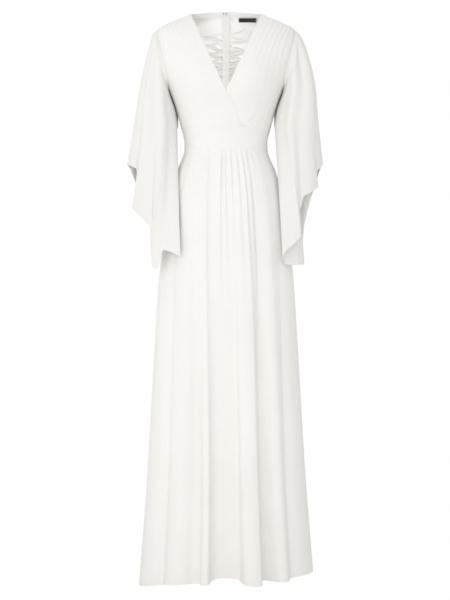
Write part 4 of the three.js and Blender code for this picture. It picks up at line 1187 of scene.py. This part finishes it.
def sleeve(side, own):
    """Open sleeve set into the armhole, hanging from the elbow into its handkerchief hem."""
    hem = rows_of(HEM_COLUMNS, SLEEVE_HEMS[own])
    count = len(hem["x"])
    u = np.arange(SLEEVE_GRID["columns"]) * count / SLEEVE_GRID["columns"]
    turned = ring_curve(hem["round"], 360)(u)
    soft = np.stack([ring_curve(hem[key])(u) for key in "xyz"], -1)
    wrapped = np.arange(count + 1)
    straight = np.stack([np.interp(u, wrapped, np.append(hem[key], hem[key][0])) for key in "xyz"], -1)
    knots = np.array([armhole_points(u)] + [ring_points(side, k, turned) for k in range(len(SLEEVE_RINGS))])
    rows = np.linspace(ROOT_END, len(SLEEVE_RINGS), SLEEVE_GRID["upper_rows"])
    upper = sleeve_lines(knots, np.concatenate([ROOT_STEPS, rows]))
    even = np.linspace(*SLEEVE_GRID["hanging_rows"])[1:]
    fall = np.unique(np.concatenate([even, 1 - np.array(HEM_STEPS) / SLEEVE_GRID["hanging"]]))
    beside = smooth(turned, HIP_ROOM["from"], HIP_ROOM["full"])
    beside *= 1 - smooth(turned, HIP_ROOM["fade"], HIP_ROOM["to"])
    hanging = []
    for part in fall:
        target = lerp(soft, straight, smooth(part, HEM_STRAIGHTENS, 1.0))
        hung = lerp(upper[-1], target, part)
        hung[:, 0] += HIP_ROOM["wide"] * math.sin(math.pi * part) * beside
        hanging.append(hung)
    base = np.concatenate([upper, np.array(hanging)])
    down = np.concatenate([np.linspace(0, RING_SHARE, len(upper)), lerp(RING_SHARE, 1, fall)])[:, None]
    folds = drape_folds(own, u, count, down)
    folds[len(upper) :] += rolled_hem((1 - fall) * SLEEVE_GRID["hanging"])[:, None]
    normal = grid_normals(base, around=True)
    middle = base.mean(axis=1, keepdims=True)
    facing = np.sign((normal * (base - middle)).sum())
    outer = base + normal * facing * folds[..., None]
    normal = grid_normals(outer, around=True) * facing
    inner = outer - normal * CHIFFON
    own_side = np.array([side, 1, 1])
    outer, inner = outer * own_side, inner * own_side
    return shell(f"chiffon_sleeve_{own}", outer, inner, sheer_painted_shade, around=True), outer


# ---------------------------------------------------------------- zip and label


def rows_of_beads(finish):
    """Nodes that set a bead of one size along every edge line at an even pitch, turned to the line."""
    tree = bpy.data.node_groups.new("beads_on_lines", "GeometryNodeTree")
    tree.interface.new_socket("Geometry", in_out="INPUT", socket_type="NodeSocketGeometry")
    pitch = tree.interface.new_socket("Pitch", in_out="INPUT", socket_type="NodeSocketFloat")
    size = tree.interface.new_socket("Bead size", in_out="INPUT", socket_type="NodeSocketVector")
    tree.interface.new_socket("Geometry", in_out="OUTPUT", socket_type="NodeSocketGeometry")
    given = add(tree, "NodeGroupInput").outputs
    line = add(tree, "GeometryNodeMeshToCurve", None, Mesh=given["Geometry"]).outputs[0]
    by_pitch = {"Curve": line, "Length": given["Pitch"]}
    spots = add(tree, "GeometryNodeCurveToPoints", {"mode": "LENGTH"}, **by_pitch).outputs
    bead = add(tree, "GeometryNodeMeshUVSphere", None, Segments=6, Rings=4, Radius=1.0).outputs[0]
    placed = add(
        tree,
        "GeometryNodeInstanceOnPoints",
        None,
        Points=spots["Points"],
        Instance=bead,
        Rotation=spots["Rotation"],
        Scale=given["Bead size"],
    )
    real = add(tree, "GeometryNodeRealizeInstances", None, Geometry=placed.outputs[0]).outputs[0]
    done = add(tree, "GeometryNodeSetMaterial", None, Geometry=real, Material=finish).outputs[0]
    tree.links.new(done, add(tree, "NodeGroupOutput").inputs[0])
    return tree, pitch.identifier, size.identifier


def beaded(name, lines, pitch, size, finish, body="dress"):
    """Plain mesh of beads along lines of points. All in millimetres."""
    points = np.concatenate(lines) * MM
    starts = np.cumsum([0] + [len(line) for line in lines])
    edges = [(k, k + 1) for first, after in zip(starts, starts[1:]) for k in range(first, after - 1)]
    path = bpy.data.meshes.new(name + "_line")
    path.from_pydata(points.tolist(), [(int(a), int(b)) for a, b in edges], [])
    piece = bpy.data.objects.new(name, path)
    bpy.context.scene.collection.objects.link(piece)
    tree, pitch_key, size_key = rows_of_beads(finish)
    modifier = piece.modifiers.new("beads", "NODES")
    modifier.node_group = tree
    modifier[pitch_key] = pitch * MM
    modifier[size_key] = tuple(half * MM for half in size)
    made = bpy.data.meshes.new_from_object(piece.evaluated_get(bpy.context.evaluated_depsgraph_get()))
    piece.modifiers.clear()
    piece.data = made
    made.name = name
    if not made.materials:
        made.materials.append(finish)
    made.shade_smooth()
    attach(piece, body)
    return piece


def stitched(name, lines, finish):
    size = (STITCH["thick"] / 2, STITCH["thick"] / 2, STITCH["long"] / 2)
    return beaded(name, lines, STITCH["pitch"], size, finish)


def inside_strip(name, strip, grid, finish, relief):
    """Strip inside the back, lying on the lining. relief is its height by its place across and up."""
    across, up = np.meshgrid(np.linspace(0, 1, grid["columns"]), np.linspace(0, 1, grid["rows"]))
    z = lerp(strip["bottom"], strip["top"], up)
    turn = 180 - turn_at(lerp(strip["from"], strip["to"], across), z)
    height = relief(across, up) - (INSIDE + strip["extra"])
    outer, inner = on_form(1, turn, z, height, CHIFFON)
    return shell(name, outer, inner, finish)


def guard_relief(s, t):
    """Slack of the guard, which lies deeper along its middle."""
    slack = GUARD_SLACK["high"] * np.sin(GUARD_SLACK["waves"] * t + GUARD_SLACK["slant"] * s)
    trough = np.exp(-(((s - 0.5) / GUARD_TROUGH["wide"]) ** 8))
    return slack * np.sin(np.pi * s) - GUARD_TROUGH["deep"] * trough


def label_relief(s, t):
    """Curl of the ribbon, which its stitches hold down at both ends."""
    ends = swell(s, 0, LABEL_HOLD["reach"]) + swell(1 - s, 0, LABEL_HOLD["reach"])
    return LABEL_CURL * np.cos(2 * np.pi * t) - LABEL_HOLD["deep"] * ends


pieces = {}
hems, tape_seams = [], []
for side, own in SIDES:
    pieces[f"bodice_front_{own}"] = front(side, own)
    pieces[f"neck_band_{own}"] = neck_band(side, own)
    pieces[f"bodice_back_{own}"] = back(side, own)
    pieces[f"lining_back_{own}"], tape_seam = back_lining(side, own)
    tape_seams.append(tape_seam)
    pieces[f"neck_band_back_{own}"] = back_neck_band(side, own)
for own, from_turn, to_turn in (("front", -90, 90), ("back_right", 180, 270), ("back_left", 90, 180)):
    grid = MIDRIFF_GRIDS[own.split("_")[0]]
    pieces[f"midriff_{own}"] = midriff(f"chiffon_midriff_{own}", from_turn, to_turn, grid)

whole = rows_of(SKIRT_COLUMNS, SKIRT_FRONT)
name = "chiffon_skirt_front"
pieces["skirt_front"], panel = skirt_panel(name, whole, FRONT_CREASES, SKIRT_COLUMNS_OF["front"], 1, 1)
hems.append(panel[HEM_STITCH_ROW])
for side, own in SIDES:
    half = rows_of(SKIRT_BACK_COLUMNS, SKIRT_BACK)
    half["out"] = half[own]
    half["drop"] = BACK_HEM_DROP[own] * (half["waist"] / half["waist"][0]) ** 2
    half = {key: half[key] for key in SKIRT_COLUMNS}
    name, creases = f"chiffon_skirt_back_{own}", BACK_CREASES[own]
    count = SKIRT_COLUMNS_OF["back"]
    pieces[f"skirt_back_{own}"], panel = skirt_panel(name, half, creases, count, side, -1)
    hems.append(panel[HEM_STITCH_ROW])
    pieces[f"sleeve_{own}"], tube = sleeve(side, own)
    hems.append(np.concatenate([tube[-1 - HEM_STITCH_ROW], tube[-1 - HEM_STITCH_ROW, :1]]))

pieces["zip_guard"] = inside_strip("chiffon_zip_guard", GUARD, GUARD_GRID, chiffon, guard_relief)
pieces["label"] = inside_strip("blank_black_label", LABEL, LABEL_GRID, ribbon, label_relief)

for node, piece in pieces.items():
    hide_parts(node)

for node in ("zip_slider", "zip_pull"):
    part = bpy.data.objects[node]
    part.data.materials.clear()
    part.data.materials.append(lacquer)


def on_back(x, z, height):
    """Points on the back of the form at x and z, at a height over it."""
    x, z, height = np.broadcast_arrays(*(np.asarray(value, float) for value in (x, z, height)))
    turn = 180 - turn_at(x, z)
    return form_point(turn, z) + form_normal(turn, z) * height[..., None]


def zip_teeth():
    """Two rows of coil along the centre back, from the slider to below the waist."""
    skirt = panel[::-1, -1]
    skirt = skirt[skirt[:, 2] > ZIP_END_Z][1:] + [0, ZIP_TOOTH["deep"] / 2, 0]
    bodice = np.arange(SLIDER_Z - ZIP_START, MIDRIFF_BOTTOM_Z, -ZIP_STEP)
    sunk = np.where(bodice > MIDRIFF_TOP_Z, ZIP_SUNK["bodice"], ZIP_SUNK["midriff"])
    middle = np.concatenate([on_back(0, bodice, sunk), skirt])
    near, far = middle + [ZIP_TOOTH["apart"], 0, 0], middle - [ZIP_TOOTH["apart"], 0, 0]
    far[0, 2] -= ZIP_TOOTH["pitch"] / 2
    deep = ZIP_TOOTH["deep"] / 2 + ZIP_SUNK["under_cloth"]
    size = (ZIP_TOOTH["wide"] / 2, deep, ZIP_TOOTH["long"] / 2)
    return beaded("nylon_zip_teeth", [near, far], ZIP_TOOTH["pitch"], size, nylon)


def top_stop(name, x):
    """Small folded stop at the top end of the zip tape, at the neck edge."""
    turns = np.linspace(0, 2 * np.pi, TOP_STOPS["corners"], endpoint=False)
    levels, wide = (np.array(row)[:, None] for row in (TOP_STOP_LEVELS, TOP_STOP_ROUNDING))
    middle = on_back(x, TOP_STOPS["z"], -FOLDED_CHIFFON - TOP_STOPS["inside"])
    along_x = middle[0] + np.cos(turns) * wide * TOP_STOPS["wide"]
    along_y = middle[1] + np.sin(turns) * TOP_STOPS["flat"] * wide * TOP_STOPS["wide"]
    grid = np.stack(np.broadcast_arrays(along_x, along_y, middle[2] + levels * TOP_STOPS["tall"]), -1)
    core = grid.mean(axis=1, keepdims=True)
    # The stops' near-black is partly painted shade at the neck edge.
    return shell(name, grid, lerp(core, grid, TOP_STOP_HOLLOW), black_brass_painted_shade, around=True)


def label_ends():
    """Line of stitches over each end of the label."""
    short, inwards = LABEL_STITCHES["below_edge"], LABEL_STITCHES["inwards"]
    z = np.linspace(LABEL["bottom"] + short, LABEL["top"] - short, LABEL_STITCHES["points"])
    face = INSIDE + LABEL["extra"] + CHIFFON
    return [on_back(x, z, -face) for x in (LABEL["from"] + inwards, LABEL["to"] - inwards)]


zip_teeth()
for (_, own), x in zip(SIDES, TOP_STOPS["x"]):
    top_stop(f"zip_top_stop_{own}", x)
stitched("hem_stitches", hems, thread)
# The dark thread of this row is partly painted shade along the guard's edge.
stitched("zip_tape_stitches", tape_seams, taupe_thread_painted_shade)
stitched("label_stitches", label_ends(), black_thread)

for node, piece in pieces.items():
    kind, _, own = node.rpartition("_")

# ---------------------------------------------------------------- floor, light and camera


def softbox(name, place, aim, wide, tall, power):
    """Flat lamp at a place, turned to what it aims at."""
    data = bpy.data.lights.new(name, "AREA")
    data.shape, data.size, data.size_y, data.energy = "RECTANGLE", wide, tall, power
    lamp = bpy.data.objects.new(name, data)
    lamp.visible_camera = False
    direction = np.array(aim, float) - np.array(place, float)
    yaw = math.atan2(direction[1], direction[0]) - math.pi / 2
    pitch = math.atan2(direction[2], math.hypot(direction[0], direction[1]))
    lamp.location, lamp.rotation_euler = place, (math.pi / 2 + pitch, 0, yaw)
    bpy.context.scene.collection.objects.link(lamp)


def paper_floor():
    """Sheet of white paper under the dress, with a grey painted shadow in the middle that fades to white."""
    made, tree, output = finish_of("studio_paper_painted_shadow")
    place = add(tree, "ShaderNodeTexCoord").outputs["Object"]
    fibre = add(tree, "ShaderNodeTexNoise", None, Vector=place, Scale=FIBRES_PER_METRE, Detail=2.0)
    bump = add(tree, "ShaderNodeBump", None, Strength=0.05, Distance=0.0002, Height=fibre.outputs[0])
    reach = add(tree, "ShaderNodeVectorMath", {"operation": "LENGTH"}, _0=place)
    shadow_fade = add(tree, "ShaderNodeMapRange", {"interpolation_type": "SMOOTHSTEP"}, _0=reach.outputs["Value"])
    shadow_fade.inputs[1].default_value, shadow_fade.inputs[2].default_value = FLOOR_PAINTED_SHADOW
    painted_shadow_tone = add(tree, "ShaderNodeMix", {"data_type": "RGBA"}, _0=shadow_fade.outputs[0])
    # Grey in the middle is a painted shadow under the dress, fading out to the white of the paper.
    painted_shadow_tone.inputs[6].default_value, painted_shadow_tone.inputs[7].default_value = linear("#cfcdc9"), linear("#ffffff")
    matt = {"Base_Color": painted_shadow_tone.outputs[2], "Roughness": 0.9, "Normal": bump.outputs[0]}
    tree.links.new(add(tree, "ShaderNodeBsdfPrincipled", **matt).outputs[0], output.inputs[0])
    floor = bpy.data.meshes.new("studio_floor")
    corners = [(-1, -1), (1, -1), (1, 1), (-1, 1)]
    floor.from_pydata([(x * FLOOR_HALF, y * FLOOR_HALF, 0) for x, y in corners], [], [(0, 1, 2, 3)])
    floor.materials.append(made)
    ground = bpy.data.objects.new("studio_floor", floor)
    ground.location = (0, 0, FLOOR_Z)
    bpy.context.scene.collection.objects.link(ground)


def surround():
    """White surround, dimmer towards one side so that the folds read."""
    sky = bpy.data.worlds.new("studio_white")
    sky.use_nodes = True
    tree = sky.node_tree
    where = add(tree, "ShaderNodeTexCoord").outputs["Generated"]
    towards = add(tree, "ShaderNodeVectorMath", {"operation": "DOT_PRODUCT"}, _0=where, _1=SHADE_SIDE)
    shading = {"_1": SHADE_FROM, "_2": 1.0, "_3": 1.0, "_4": SHADE}
    dimmed = add(tree, "ShaderNodeMapRange", None, _0=towards.outputs["Value"], **shading)
    backdrop = tree.nodes["Background"]
    backdrop.inputs[0].default_value = linear("#ffffff")
    tree.links.new(dimmed.outputs[0], backdrop.inputs[1])
    bpy.context.scene.world = sky


def camera():
    """Long lens in front of the dress, at half its height."""
    distance, sensor = CAMERA["distance"], CAMERA["sensor"]
    lens = bpy.data.cameras.new("studio_camera")
    lens.sensor_fit, lens.sensor_height, lens.lens = "VERTICAL", sensor, sensor * distance / FRAME_HEIGHT
    lens.clip_end = 2 * distance
    eye = bpy.data.objects.new("studio_camera", lens)
    eye.location, eye.rotation_euler = (CAMERA["x"], -distance, CAMERA["z"]), (math.pi / 2, 0, 0)
    bpy.context.scene.collection.objects.link(eye)
    bpy.context.scene.camera = eye
    bpy.context.scene.view_settings.view_transform = "Standard"


paper_floor()
surround()
for lamp in LAMPS:
    softbox(*lamp)
camera()
